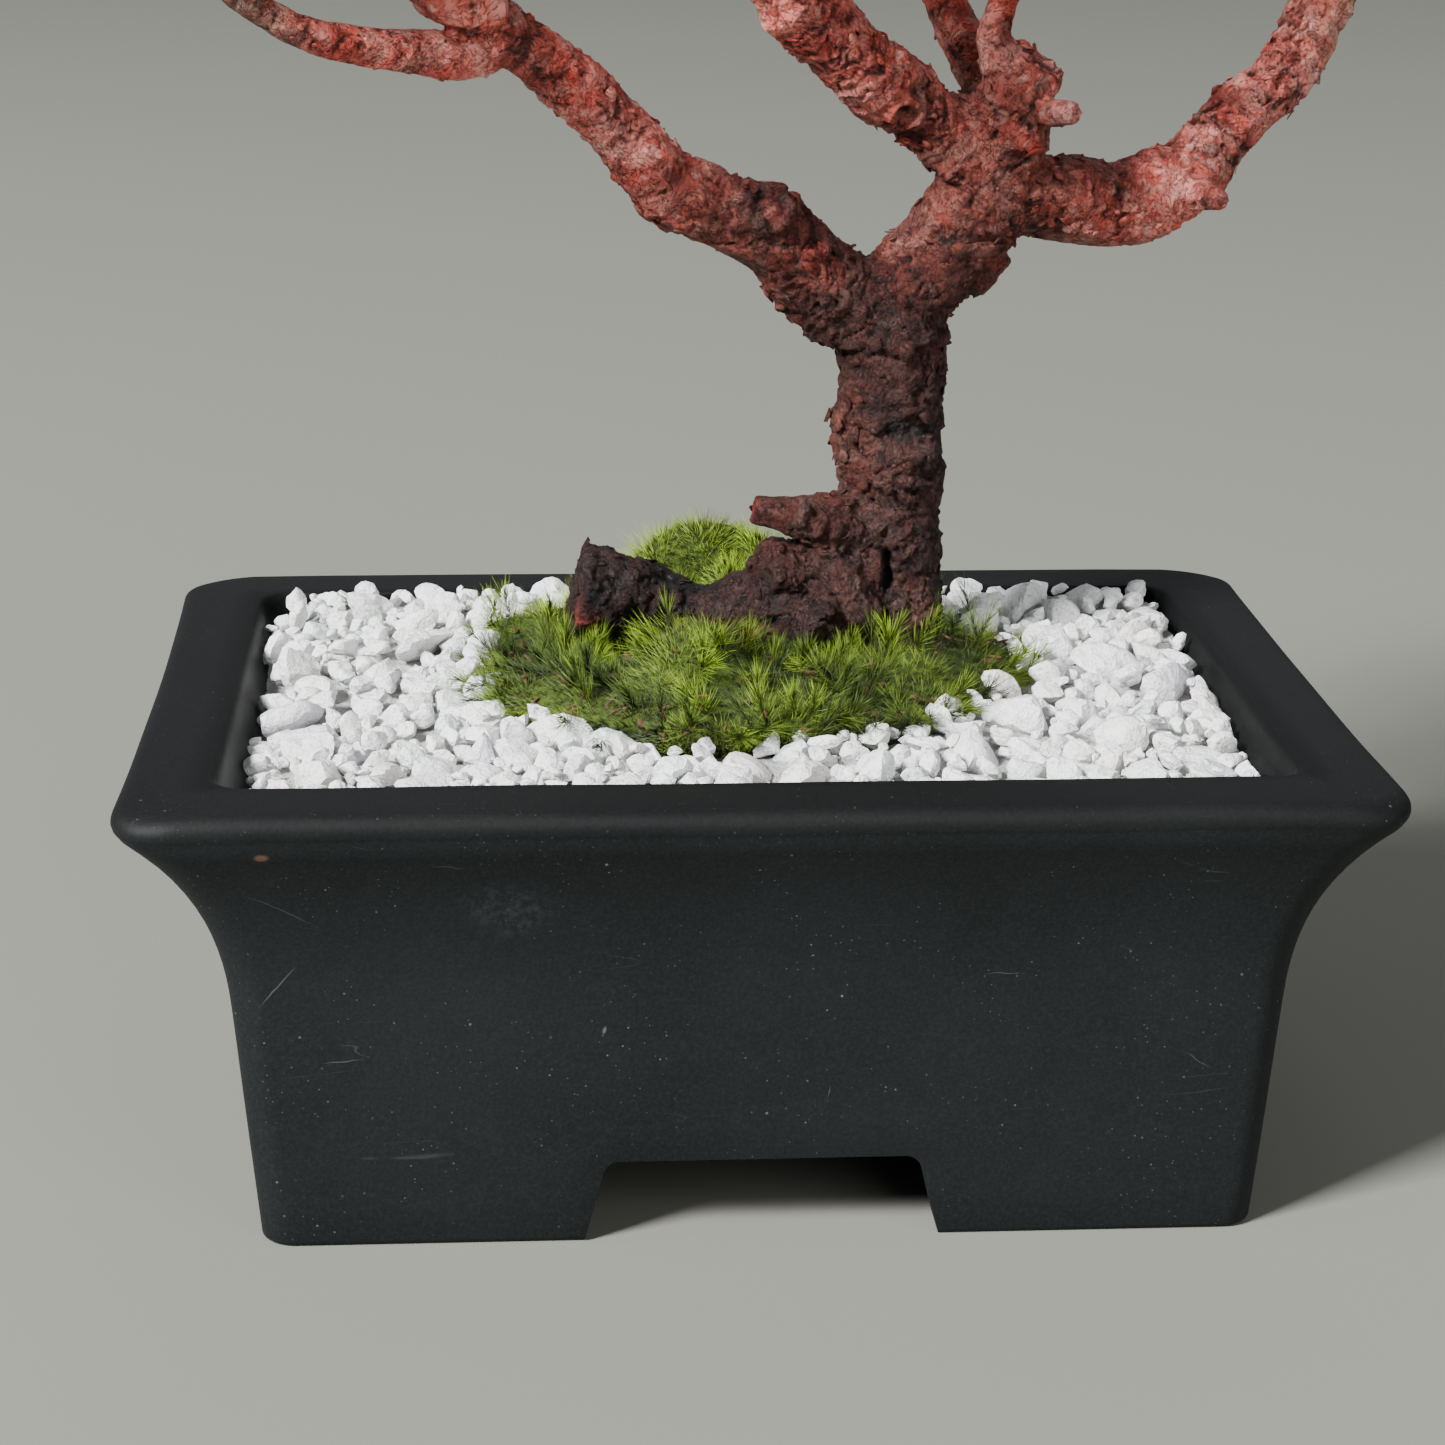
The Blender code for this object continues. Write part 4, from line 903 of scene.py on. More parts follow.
def make_pot():
    """The pot with its foot ring, cut-outs and drain holes, slightly uneven as thrown ware is."""
    pot = loft("pot_shell", pot_rings())
    cut_foot(pot)
    edge = pot.modifiers.new("edges", "BEVEL")
    edge.width = POT_EDGE
    edge.segments = POT_BEVEL_STEPS
    edge.limit_method = "ANGLE"
    edge.angle_limit = POT_EDGE_ANGLE
    edge.use_clamp_overlap = True
    mesh = applied(pot)
    # The inner mark carries the painted shade of the inner wall.
    add_marks(mesh, {"inner": np.array([float(is_inner(vert.co)) for vert in mesh.vertices])})
    for vert in mesh.vertices:
        vert.co = uneven(vert.co)
    mesh.shade_smooth()
    mesh.set_sharp_from_angle(angle=POT_CREASE)
    bpy.data.objects.remove(pot, do_unlink=True)
    add_piece("pot_shell", mesh, pot_material(), "pot", "pot")


def moss_reach(x, y):
    """Distance from the moss's centre as a share of its wandering outline."""
    across = (x - MOSS_CENTRE.x) / MOSS_HALF_X
    deep = (y - MOSS_CENTRE.y) / MOSS_HALF_Y
    turn = math.atan2(deep, across)
    edge = 1
    for depth, count, phase in MOSS_WAVES:
        edge += depth * math.sin(count * turn + phase)
    return math.hypot(across, deep) / edge


def to_rim(x, y, reach):
    """A point beside the moss, or on it, moved to the moss's rim."""
    return MOSS_CENTRE.x + (x - MOSS_CENTRE.x) / reach, MOSS_CENTRE.y + (y - MOSS_CENTRE.y) / reach


def drawn_point(rng, limit):
    """A random point within a share of the moss's half-sizes."""
    x = MOSS_CENTRE.x + rng.uniform(-limit, limit) * MOSS_HALF_X
    return x, MOSS_CENTRE.y + rng.uniform(-limit, limit) * MOSS_HALF_Y


def moss_height(x, y):
    """Top of the moss's mat."""
    reach = min(1.0, moss_reach(x, y))
    rise = MOSS_CROWN * (1 - reach ** 2) ** 0.6
    for hump_x, hump_y, hump_rise, spread_x, spread_y in MOSS_HUMPS:
        across = (x / MM - hump_x) / spread_x
        deep = (y / MM - hump_y) / spread_y
        rise += hump_rise * MM * math.exp(-0.5 * (across ** 2 + deep ** 2)) * (1 - reach ** 6)
    rough = noise.noise(Vector((x, y, 0)) / (3.5 * MM)) * 0.5 * MM * (1 - reach ** 4)
    return MOSS_FOOT + 0.4 * MM + max(0.0, rise + rough)


def chip_top(x, y, edge_x, edge_y):
    """Level that the heaped chips reach: low along the left wall, high at the back."""
    back = clamped((y / edge_y + 0.45) / 1.35)
    level = toward(CHIP_TOP_FRONT, CHIP_TOP_BACK, back ** 1.2)
    left_wall = bell(x + edge_x, 6 * MM)
    side_wall = bell(edge_x - abs(x), 4 * MM)
    heap = bell(moss_reach(x, y) - 1.08, 0.16)
    return level - 1.8 * MM * left_wall - 0.7 * MM * side_wall + 0.9 * MM * heap


def chip_shape(dice):
    """Facet normals and distances of a chip of size one, and its stretch."""
    ways = []
    for _ in range(CHIP_FACETS):
        ways.append(Vector([dice.gauss(0, 1) for _ in range(3)]).normalized())
    distances = [dice.uniform(*CHIP_FACET_REACH) for _ in ways]
    stretch = (1.0, dice.uniform(*CHIP_WIDTH), dice.uniform(*CHIP_THICKNESS))
    return np.array(ways), np.array(distances), np.array(stretch)


def chip_skin(sphere, ways, distances, stretch):
    """Points of a chip with rounded edges, from the points of a sphere."""
    facing = np.maximum(sphere @ ways.T, 0) / distances
    reach = np.sum(facing ** CHIP_ROUNDNESS, axis=1) ** (-1 / CHIP_ROUNDNESS)
    return sphere * np.minimum(reach, 1.25)[:, None] * stretch


def chip_relief(spot, shift):
    """Broken bites and pits of a chip's surface, in mm."""
    bite = noise.noise(spot / 2.6 + shift) * 0.2 + noise.noise(spot / 1.1 + shift) * 0.13
    pit = max(0.0, noise.noise(spot / 0.75 + shift) - 0.12) * 0.5
    return bite - pit


def sphere_arrays(subdivisions):
    """Points and triangles of an icosphere of radius one."""
    bm = bmesh.new()
    bmesh.ops.create_icosphere(bm, subdivisions=subdivisions, radius=1)
    bm.verts.ensure_lookup_table()
    points = np.array([vert.co for vert in bm.verts])
    triangles = np.array([[vert.index for vert in face.verts] for face in bm.faces])
    bm.free()
    return points, triangles


class HeapMap:
    """Heights of the heap of chips over a grid, onto which chips are let down."""

    def __init__(self, half_x, half_y):
        self.half_x = half_x
        self.half_y = half_y
        self.columns = int(2 * half_x / CHIP_CELL) + 1
        self.rows = int(2 * half_y / CHIP_CELL) + 1
        self.heights = np.full((self.columns, self.rows), CHIP_FLOOR)
        for i, x in enumerate(-half_x + CHIP_CELL * np.arange(self.columns)):
            for j, y in enumerate(-half_y + CHIP_CELL * np.arange(self.rows)):
                if moss_reach(x, y) < 0.93:
                    self.heights[i, j] = MOSS_FOOT + 2 * MM

    def footprint(self, normals, offsets, reach):
        """Lower and upper surface of a chip over the cells round its middle."""
        steps = int(reach / CHIP_CELL) + 1
        spans = CHIP_CELL * np.arange(-steps, steps + 1)
        gx, gy = np.meshgrid(spans, spans, indexing="ij")
        lower = np.full(gx.shape, -reach)
        upper = np.full(gx.shape, reach)
        for (nx, ny, nz), offset in zip(normals, offsets):
            rest = offset - nx * gx - ny * gy
            if nz < -0.02:
                lower = np.maximum(lower, rest / nz)
            elif nz > 0.02:
                upper = np.minimum(upper, rest / nz)
            else:
                lower = np.where(rest < 0, reach, lower)
        return steps, lower, upper, lower < upper

    def patch(self, x, y, steps):
        """The heights round a place, or nothing where the wall is too near."""
        i = int(round((x + self.half_x) / CHIP_CELL))
        j = int(round((y + self.half_y) / CHIP_CELL))
        if i < steps or j < steps or i + steps >= self.columns or j + steps >= self.rows:
            return None
        return self.heights[i - steps:i + steps + 1, j - steps:j + steps + 1]

    def rest(self, x, y, steps, lower, inside):
        """Height of a chip's middle when it is let down at a place."""
        patch = self.patch(x, y, steps)
        if patch is None:
            return None
        return float(np.max(np.where(inside, patch - lower, -1.0)))

    def settle(self, x, y, z, steps, upper, inside):
        """Raises the heap where a chip has come to rest."""
        patch = self.patch(x, y, steps)
        np.maximum(patch, np.where(inside, z + upper, -1.0), out=patch)


def chip_tint(dice):
    """Colour of one chip: chalk white, at times faintly green, lilac or warm."""
    white = dice.uniform(*CHIP_WHITE)
    plain = [white * 0.985, white, white * dice.uniform(0.955, 0.985)]
    kind = dice.random()
    for limit, factors in CHIP_TINTS:
        if kind < limit:
            return [white * factor for factor in factors]
    return plain


def best_place(dice, heap, section, size, steps, lower, inside):
    """The lowest of some random resting places: level over the wanted top, then x, y and z."""
    edge_x, edge_y, corner = section
    best = None
    for _ in range(CHIP_CHOICES):
        x = dice.uniform(-edge_x, edge_x)
        y = dice.uniform(-edge_y, edge_y)
        if moss_reach(x, y) < 1.0:
            continue
        past = math.hypot(max(0, abs(x) - edge_x + corner + size),
                          max(0, abs(y) - edge_y + corner + size))
        if past > corner + size * 0.3:
            continue
        z = heap.rest(x, y, steps, lower, inside)
        if z is None:
            continue
        above = z - chip_top(x, y, edge_x, edge_y)
        if best is None or above < best[0]:
            best = (above, x, y, z)
    return best


def heap_chips(dice):
    """Lets chips down one by one: middle, turn, size, shape and level of each."""
    section = cavity_section(CHIP_WALL_LEVEL)
    heap = HeapMap(*section[:2])
    chips = []
    misses = 0
    limit = CHIP_LIMIT
    small, large = CHIP_RADIUS
    while len(chips) < limit:
        if misses >= CHIP_MISSES:
            if small == GRIT_RADIUS[0]:
                break
            small, large = GRIT_RADIUS
            limit = len(chips) + GRIT_COUNT
            misses = 0
        size = toward(small, large, dice.random() ** CHIP_SMALLNESS)
        ways, distances, stretch = chip_shape(dice)
        turn = Matrix.Rotation(dice.gauss(0, CHIP_LEAN), 3, "X")
        turn = turn @ Matrix.Rotation(dice.gauss(0, CHIP_LEAN), 3, "Y")
        turn = np.array(turn @ Matrix.Rotation(dice.uniform(0, math.tau), 3, "Z"))
        normals = (ways / stretch) @ turn.T
        lengths = np.linalg.norm(normals, axis=1)
        normals = normals / lengths[:, None]
        offsets = distances * size / lengths
        steps, lower, upper, inside = heap.footprint(normals, offsets, size * 1.1)
        best = best_place(dice, heap, section, size, steps, lower, inside)
        if best is None or best[0] > 0:
            misses += 1
            continue
        misses = 0
        above, x, y, z = best
        heap.settle(x, y, z - CHIP_SINK, steps, upper, inside)
        chips.append((Vector((x, y, z - CHIP_SINK)), turn, size, (ways, distances, stretch), above))
    return chips


def grit_bed_with_gap_shade(side):
    """Fine grit between the chips in one half of the pot, as a closed slab, its grey darkened as
    painted shade in the gaps.
    """
    edge_x, edge_y, corner = cavity_section(BED_WALL_LEVEL)
    columns = int(edge_x / BED_CELL)
    rows = int(2 * edge_y / BED_CELL)
    top = []
    for i in range(columns + 1):
        for j in range(rows + 1):
            x = side * edge_x * i / columns
            y = -edge_y + 2 * edge_y * j / rows
            past_x = max(0.0, abs(x) - edge_x + corner)
            past_y = max(0.0, abs(y) - edge_y + corner)
            past = math.hypot(past_x, past_y)
            if past > corner:
                x -= math.copysign(past_x * (1 - corner / past), x)
                y -= math.copysign(past_y * (1 - corner / past), y)
            grit = noise.noise(Vector((x, y, 0)) / (1.5 * MM)) * 0.5 * MM
            top.append((x, y, chip_top(x, y, edge_x, edge_y) - BED_DEPTH + grit))
    points = np.array(top)
    count = len(points)
    points = np.vstack([points, points - (0, 0, BED_SLAB)])
    triangles = []
    border = []
    for i in range(columns):
        for j in range(rows):
            a = i * (rows + 1) + j
            b = a + rows + 1
            quad = (a, b, b + 1, a + 1) if side > 0 else (a, a + 1, b + 1, b)
            triangles += [quad[:3], (quad[0], *quad[2:])]
            border += zip(quad, quad[1:] + quad[:1])
    edges = set(border)
    under = [(c + count, b + count, a + count) for a, b, c in triangles]
    walls = []
    for a, b in border:
        if (b, a) not in edges:
            walls += [(b, a, a + count), (b, a + count, b + count)]
    return tinted_part(points, np.array(triangles + under + walls), GRIT_AND_GAP_SHADE_GREY)


def make_chips():
    """The white chips as separate stones, heaped round the moss, in a left and a right half."""
    dice = random.Random(SEED)
    fine, coarse = [sphere_arrays(count) for count in CHIP_SPHERES]
    halves = {"left": [], "right": []}
    for middle, turn, size, shape, above in heap_chips(dice):
        near_top = above > -CHIP_SHOWN_DEPTH and size > GRIT_RADIUS[1]
        sphere, triangles = fine if near_top else coarse
        skin = chip_skin(sphere, *shape) * size
        shift = Vector([dice.uniform(-CHIP_BITE_SHIFT, CHIP_BITE_SHIFT) for _ in range(3)])
        rough = [chip_relief(Vector(point) / MM, shift) * MM * min(1.0, size / (3 * MM))
                 for point in skin]
        skin = skin + sphere * np.array(rough)[:, None]
        points = skin @ turn.T + np.array(middle)
        part = tinted_part(points, triangles, chip_tint(dice))
        halves["left" if middle.x < 0 else "right"].append(part)
    material = chip_material()
    for side, parts in halves.items():
        parts.append(grit_bed_with_gap_shade(-1 if side == "left" else 1))
        mesh = mesh_from_arrays("chips_" + side, *join_arrays(parts))
        mesh.set_sharp_from_angle(angle=CHIP_CREASE)
        add_piece("chips_" + side, mesh, material, "gravel", "gravel")


def make_moss_mat():
    """The closed mat that the leaves of the moss stand in."""
    bm = bmesh.new()
    rings = []
    for ring in range(1, MOSS_RINGS + 1):
        share = math.sin(math.pi / 2 * ring / MOSS_RINGS)
        loop = []
        for sector in range(MOSS_SECTORS):
            turn = math.tau * (sector + 0.5 * (ring % 2)) / MOSS_SECTORS
            x = MOSS_CENTRE.x + MOSS_HALF_X * share * math.cos(turn)
            y = MOSS_CENTRE.y + MOSS_HALF_Y * share * math.sin(turn)
            reach = moss_reach(x, y)
            if reach > 1:
                x, y = to_rim(x, y, reach)
            loop.append(bm.verts.new((x, y, moss_height(x, y))))
        rings.append(loop)
    crown = bm.verts.new((*MOSS_CENTRE.xy, moss_height(*MOSS_CENTRE.xy)))
    foot = [bm.verts.new((vert.co.x, vert.co.y, MOSS_FOOT - MOSS_SLAB)) for vert in rings[-1]]
    rings.append(foot)
    for i in range(MOSS_SECTORS):
        j = (i + 1) % MOSS_SECTORS
        bm.faces.new((crown, rings[0][i], rings[0][j]))
        for inner, outer in zip(rings, rings[1:]):
            bm.faces.new((inner[i], outer[i], outer[j], inner[j]))
    bm.faces.new(list(reversed(foot)))
    bmesh.ops.recalc_face_normals(bm, faces=bm.faces)
    mesh = mesh_from_bmesh("moss_mat", bm)
    mesh.shade_smooth()
    add_piece("moss_mat", mesh, mound_material(), "moss", "moss")


def moss_places(rng, count, wood, room, rim_share=0.0, front=-1.0, back=1.0):
    """Feet on the mat, clear of the wood, and the way that leaves point there."""
    places = []
    ways = []
    step = 0.6 * MM
    while len(places) < count:
        x, y = drawn_point(rng, 1.05)
        reach = moss_reach(x, y)
        if rng.random() < rim_share:
            x, y = to_rim(x, y, reach)
            reach = 1.0
        if reach > 1.0 or not front < y < back:
            continue
        z = moss_height(x, y) - rng.uniform(0.0, 2.2) * MM * (reach == 1.0)
        place = Vector((x, y, z))
        nearest, normal, _, distance = wood.find_nearest(place)
        if distance < room or (place - nearest).dot(normal) < 0:
            continue
        slope = Vector((moss_height(x - step, y) - moss_height(x + step, y),
                        moss_height(x, y - step) - moss_height(x, y + step), 2 * step))
        outward = Vector((x - MOSS_CENTRE.x, y - MOSS_CENTRE.y, 0)).normalized()
        if reach == 1.0:
            slope = outward + Vector((0, 0, RIM_LIFT))
        elif rng.random() * slope.normalized().z > FLAT_SHARE:
            continue
        way = slope.normalized() + outward * (RIM_LIFT * reach ** 4)
        places.append(place)
        ways.append(way.normalized())
    return np.array(places), np.array(ways)


def tuft_centres(rng):
    """Middles of the tufts, spread over the moss."""
    centres = []
    for _ in range(TUFT_TRIES):
        x, y = drawn_point(rng, 1.0)
        near = any(math.hypot(x - a, y - b) < TUFT_SPACING * rng.uniform(0.8, 1.3)
                   for a, b in centres)
        if moss_reach(x, y) < 1 and not near:
            centres.append((x, y))
    return np.array(centres)


def tuft_offsets(places, centres):
    """Way from the nearest tuft's middle, as a share of a tuft, and that tuft's number."""
    away = places[:, None, :2] - centres[None]
    gaps = np.linalg.norm(away, axis=2)
    nearest = np.argmin(gaps, axis=1)
    chosen = away[np.arange(len(places)), nearest] / (TUFT_REACH * TUFT_SPACING)
    return np.hstack([chosen, np.zeros((len(places), 1))]), nearest


def leaf_tints(rng, places, shares):
    """Yellow-green tints that change from tuft to tuft, with painted shade between the tufts and
    painted light on the front hump and the back crest.
    """
    tints = []
    for place, share in zip(places, shares):
        patch = noise.noise(Vector(place) / (9 * MM))
        front = math.exp(-((place[0] / MM + 6) ** 2 + (place[1] / MM + 3) ** 2) / 60)
        crest = clamped((place[1] / MM - 20) / 12)
        # Painted shade: darker away from each tuft's middle, between the tufts.
        bright = 0.32 + 0.75 * patch + rng.uniform(-0.25, 0.25) - 0.4 * share
        # Painted light: brighter on the front hump and on the back crest.
        bright += 0.5 * front + 0.85 * crest
        tints.append(toward(MOSS_DULL, MOSS_FRESH, clamped(bright)))
    return np.array(tints)


def make_moss_hair(rng, wood, material):
    """Fine upright leaves in tufts on the mat."""
    places, ways = moss_places(rng, HAIR_COUNT, wood, MOSS_ROOM, RIM_SHARE)
    crest = moss_places(rng, CREST_HAIR_COUNT, wood, MOSS_ROOM, SPARSE_RIM, CREST_BACK)
    places = np.vstack([places, crest[0]])
    ways = np.vstack([ways, crest[1]])
    centres = tuft_centres(rng)
    offsets, tuft = tuft_offsets(places, centres)
    shares = np.clip(np.linalg.norm(offsets, axis=1), 0, 1)
    headings = unit(ways + TUFT_LEAN * offsets + rng.normal(0, HAIR_JITTER, ways.shape))
    vigour = rng.uniform(*HAIR_VIGOUR, len(centres))[tuft]
    lengths = rng.uniform(*HAIR_LENGTH, len(places)) * vigour * (1.1 - 0.45 * shares)
    radii = np.full(len(places), HAIR_RADIUS) * rng.uniform(0.8, 1.2, len(places))
    bends = rng.normal(0, HAIR_BEND, ways.shape)
    roots = places - headings * HAIR_SINK * MM
    points, triangles, along, owner = blades(roots, headings, bends, lengths, radii, 1, rng)
    tints = leaf_tints(rng, places, shares)[owner]
    mesh = mesh_from_arrays("moss_hair", points, triangles, {"along": along, "tint": tints})
    add_piece("moss_hair", mesh, material, "moss", "moss")


def make_moss_shoots(rng, wood, material):
    """Feathered shoots that stand out of the moss."""
    places, ways = moss_places(rng, SHOOT_COUNT, wood, SHOOT_ROOM, SPARSE_RIM, back=SHOOT_BACK)
    stems = unit(ways + rng.normal(0, SHOOT_JITTER, ways.shape))
    lengths = rng.uniform(*SHOOT_STEM, len(places))
    curl = rng.normal(0, SHOOT_CURL, ways.shape)
    shares = np.tile((np.arange(SHOOT_LEAVES) + 0.5) / SHOOT_LEAVES, len(places))
    owner = np.repeat(np.arange(len(places)), SHOOT_LEAVES)
    reach = (lengths[owner] * shares)[:, None]
    bend = (lengths[owner] * shares ** 2)[:, None]
    roots = places[owner] + stems[owner] * reach + curl[owner] * bend
    forward = unit(stems[owner] + 2 * curl[owner] * shares[:, None])
    side = unit(np.cross(forward, rng.normal(0, 1, forward.shape)))
    opening = np.radians(toward(*SHOOT_OPENING, shares))[:, None]
    headings = unit(forward * np.cos(opening) + side * np.sin(opening))
    leaf_lengths = rng.uniform(*LEAF_LENGTH, len(roots)) * (1.05 - 0.45 * shares ** 3)
    radii = np.full(len(roots), LEAF_RADIUS)
    bends = forward * 0.22
    points, triangles, along, leaf = blades(roots, headings, bends, leaf_lengths, radii, 2, rng, 0.5)
    shoot_tints = leaf_tints(rng, places, np.zeros(len(places))) * SHOOT_GLOW
    tints = np.repeat(shoot_tints, SHOOT_LEAVES, axis=0)[leaf]
    mesh = mesh_from_arrays("moss_shoots", points, triangles, {"along": along, "tint": tints})
    add_piece("moss_shoots", mesh, material, "moss", "moss")


def make_moss(wood):
    """The leaves and the shoots of the moss."""
    rng = np.random.default_rng(SEED + 1)
    material = moss_material()
    make_moss_hair(rng, wood, material)
    make_moss_shoots(rng, wood, material)


def make_litter(wood):
    """Bits of dead leaf and bark on the moss."""
    rng = np.random.default_rng(SEED + 2)
    sphere, triangles = sphere_arrays(1)
    parts = []
    places = moss_places(rng, LITTER_COUNT, wood, LITTER_ROOM, SPARSE_RIM, back=SHOOT_BACK)[0]
    for place in places:
        sizes = [rng.uniform(*limits) for limits in LITTER_SIZES]
        turn = np.array(Matrix.Rotation(rng.uniform(0, 6.28), 3, "Z")
                        @ Matrix.Rotation(rng.normal(0, 0.6), 3, "Y"))
        bit = sphere * (np.array(sizes) * MM) * rng.uniform(0.7, 1.2, (len(sphere), 1))
        points = bit @ turn.T + place + (0, 0, rng.uniform(*LITTER_LIFT) * MM)
        parts.append(tinted_part(points, triangles, LITTER_BROWN * rng.uniform(0.25, 1.3)))
    mesh = mesh_from_arrays("litter", *join_arrays(parts), smooth=False)
    add_piece("litter", mesh, litter_material(), "moss", "moss")


def cad_tree():
    """The CAD tree as a bmesh in the frame."""
    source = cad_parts["tree"]
    bm = bmesh.new()
    bm.from_mesh(source.data)
    bm.transform(source.matrix_world)
    return bm


def wood_section(name, low, high, voxel):
    """The CAD tree between two levels, remeshed finely and smoothed."""
    bm = cad_tree()
    bmesh.ops.remove_doubles(bm, verts=bm.verts, dist=0.002 * MM)
    for level, below in ((low, True), (high, False)):
        if level is None:
            continue
        bmesh.ops.bisect_plane(bm, geom=bm.verts[:] + bm.edges[:] + bm.faces[:],
                               plane_co=(0, 0, level * MM), plane_no=(0, 0, 1),
                               clear_inner=below, clear_outer=not below)
        rims = [edge for edge in bm.edges if edge.is_boundary]
        bmesh.ops.holes_fill(bm, edges=rims, sides=0)
    body = add_object(name, mesh_from_bmesh(name, bm))
    remesh = body.modifiers.new("remesh", "REMESH")
    remesh.mode = "VOXEL"
    remesh.voxel_size = voxel * MM
    smooth = body.modifiers.new("smooth", "SMOOTH")
    smooth.factor = SMOOTH_SHARE
    smooth.iterations = WOOD_SMOOTHING
    mesh = applied(body)
    bpy.data.objects.remove(body, do_unlink=True)
    return mesh


def terrace(value, steps):
    """A value pressed into flat steps with short steep risers."""
    scaled = value * steps
    step = math.floor(scaled)
    run = scaled - step
    rise = clamped((run - 0.8) / 0.2)
    return (step + rise * rise * (3 - 2 * rise)) / steps


def bark_height(place, centre, depth):
    """Relief of the bark in mm, how raised it is from 0 to 1, and its layer's own shade.

    Sheets of bark lie in ragged layers. The centre is the middle of the limb there: noise that
    leans on it runs round the limb as wrinkles do.
    """
    ring = centre + (place - centre) * SHEET_ROUND
    warp = noise.noise_vector(place / WARP_SIZE) * 0.3
    sheets = noise.fractal(ring / SHEET_SIZE + warp, 0.85, 2.2, 5)
    layers = terrace(sheets, LAYER_STEPS)
    scrap_field = noise.fractal(ring / SCRAP_SIZE + warp, 0.85, 2.2, 4)
    scraps = terrace(scrap_field, SCRAP_STEPS)
    run = (centre * 0.86 + place * 0.14) / WRINKLE_SIZE + warp * 0.6
    wrinkles = 1 - abs(noise.noise(run)) * 3
    cracks = max(0.0, 1 - abs(noise.fractal(ring / CRACK_SIZE + warp, 0.9, 2, 4)) * 11)
    lumps = noise.noise(place / (6.5 * MM)) * 0.6 + noise.noise(place / (3 * MM)) * 0.14
    grit = noise.noise(place / (0.9 * MM)) * 0.05
    height = layers * 0.8 + scraps * 0.2 + wrinkles * 0.15 - cracks * 0.38 + lumps + grit
    raised = 0.55 + 0.3 * layers + 0.22 * scraps + 0.12 * wrinkles - 0.5 * cracks
    level = math.floor(sheets * LAYER_STEPS) * 3.7 + math.floor(scrap_field * SCRAP_STEPS) * 1.9
    shade = noise.noise(ring / (4.5 * MM) + Vector((level, 2 * level, 5)))
    return height * depth, clamped(raised), shade


def sleeve_height(place):
    """Ragged edges round the trunk where upper bark overhangs the lower like a sleeve, in mm."""
    spot = place / MM
    if not 78 < spot.z < 116 or abs(spot.x - 22) > 12:
        return 0.0
    wander = 1.8 * noise.noise(place / (5 * MM)) + 0.7 * noise.noise(place / (1.4 * MM))
    height = 0.0
    for level, rise, run in SLEEVES:
        over = spot.z - level - wander
        if over > 0:
            height += rise * min(1.0, over / 0.4) * math.exp(-over / run)
        elif over > -1.2:
            height -= 0.35 * (1.2 + over) / 1.2
    return height


def bark_tone(place):
    """Large-scale colour of the bark: near black at the foot, redder out along the limbs."""
    spot = place / MM
    x, _, z = spot
    drift = noise.noise(place / (16 * MM))
    patch = noise.noise(place / (6.5 * MM) + Vector((3, 7, 1)))
    dusk = clamped(noise.noise(place / (8 * MM) + Vector((9, 2, 4))) * 2.6 - 0.15)
    limb = clamped((math.hypot(x - 23, z - 106) - 11) / 40 + 0.2 * patch) * clamped((z - 104) / 8)
    heart = math.exp(-((x - 37) ** 2 + (z - 128) ** 2) / 170)
    blaze = math.exp(-((x - 15) ** 2 / 50 + (z - 88) ** 2 / 60))
    end_left = clamped((-x - 56) / 9)
    end_right = clamped((x - 76) / 10)
    tone = toward(BLACK_BROWN, DARK_RED, clamped((z - 66) / 50 + 0.3 * drift))
    tone = toward(tone, BRICK, limb * min(1.0, 0.85 + 0.3 * patch))
    tone = toward(tone, SALMON, clamped(0.44 + patch) * limb * 0.75)
    tone = toward(tone, HEART_BROWN * 0.74, heart * 0.88)
    tone = tone * (1 - 0.36 * dusk)
    tone = toward(tone, RUSSET * 1.5, blaze * 0.3)
    tone = toward(tone, ASH * 1.3, end_right * 0.5)
    tone = toward(tone, GREY_GREEN, end_left * 0.8 + max(0.0, end_right - 0.4) * 0.6)
    tone = toward(tone, GREY_GREEN * 0.8, clamped((z - 160) / 35) * 0.7)
    for centre, reach, mark, strength in WOOD_MARKS:
        tone = toward(tone, mark, bell((spot - Vector(centre)).length, reach) * strength)
    return tone


def layer_tone(tone, raised, shade):
    """The tone of one layer: raised sheets greyer, fresh ones below redder, each a bit its own."""
    grey = float(tone @ (0.4, 0.4, 0.2)) * np.array((1.3, 0.72, 0.61))
    weathered = clamped(0.12 + 1.1 * shade + 0.6 * (raised - 0.5), high=0.72)
    tone = toward(tone, grey, weathered)
    fresh = clamped(-1.3 * shade - 0.4 * (raised - 0.5), high=0.6)
    tone = toward(tone, tone * (1.25, 0.62, 0.5), fresh)
    return tone * (1 + 0.55 * shade)


def distance_to_line(place, points):
    """Distance in mm from a place to a broken line."""
    least = 1e9
    for a, b in zip(points, points[1:]):
        start = Vector(a)
        run = Vector(b) - start
        share = clamped((place - start).dot(run) / run.length_squared)
        least = min(least, (place - start - run * share).length)
    return least


def feature_height(place):
    """Relief in mm of the named cracks, dents and scars near a place."""
    spot = place / MM
    wobble = noise.noise(place / (2 * MM)) * 0.5
    height = 0.0
    for points, half_width, depth in CRACKS:
        gap = abs(distance_to_line(spot, points) + wobble)
        if gap < 3 * half_width:
            height -= depth * bell(gap, half_width)
    for centre, reach, depth in DENTS:
        height -= depth * bell((spot - Vector(centre)).length, reach)
    for centre, radius, rim, middle in SCARS:
        away = (spot - Vector(centre)).length
        if away < 2.2 * radius:
            height += rim * bell(away - radius, 0.28 * radius)
            height -= 0.8 * rim * bell(away - 0.62 * radius, 0.2 * radius)
            height += middle * bell(away, 0.36 * radius)
    return height


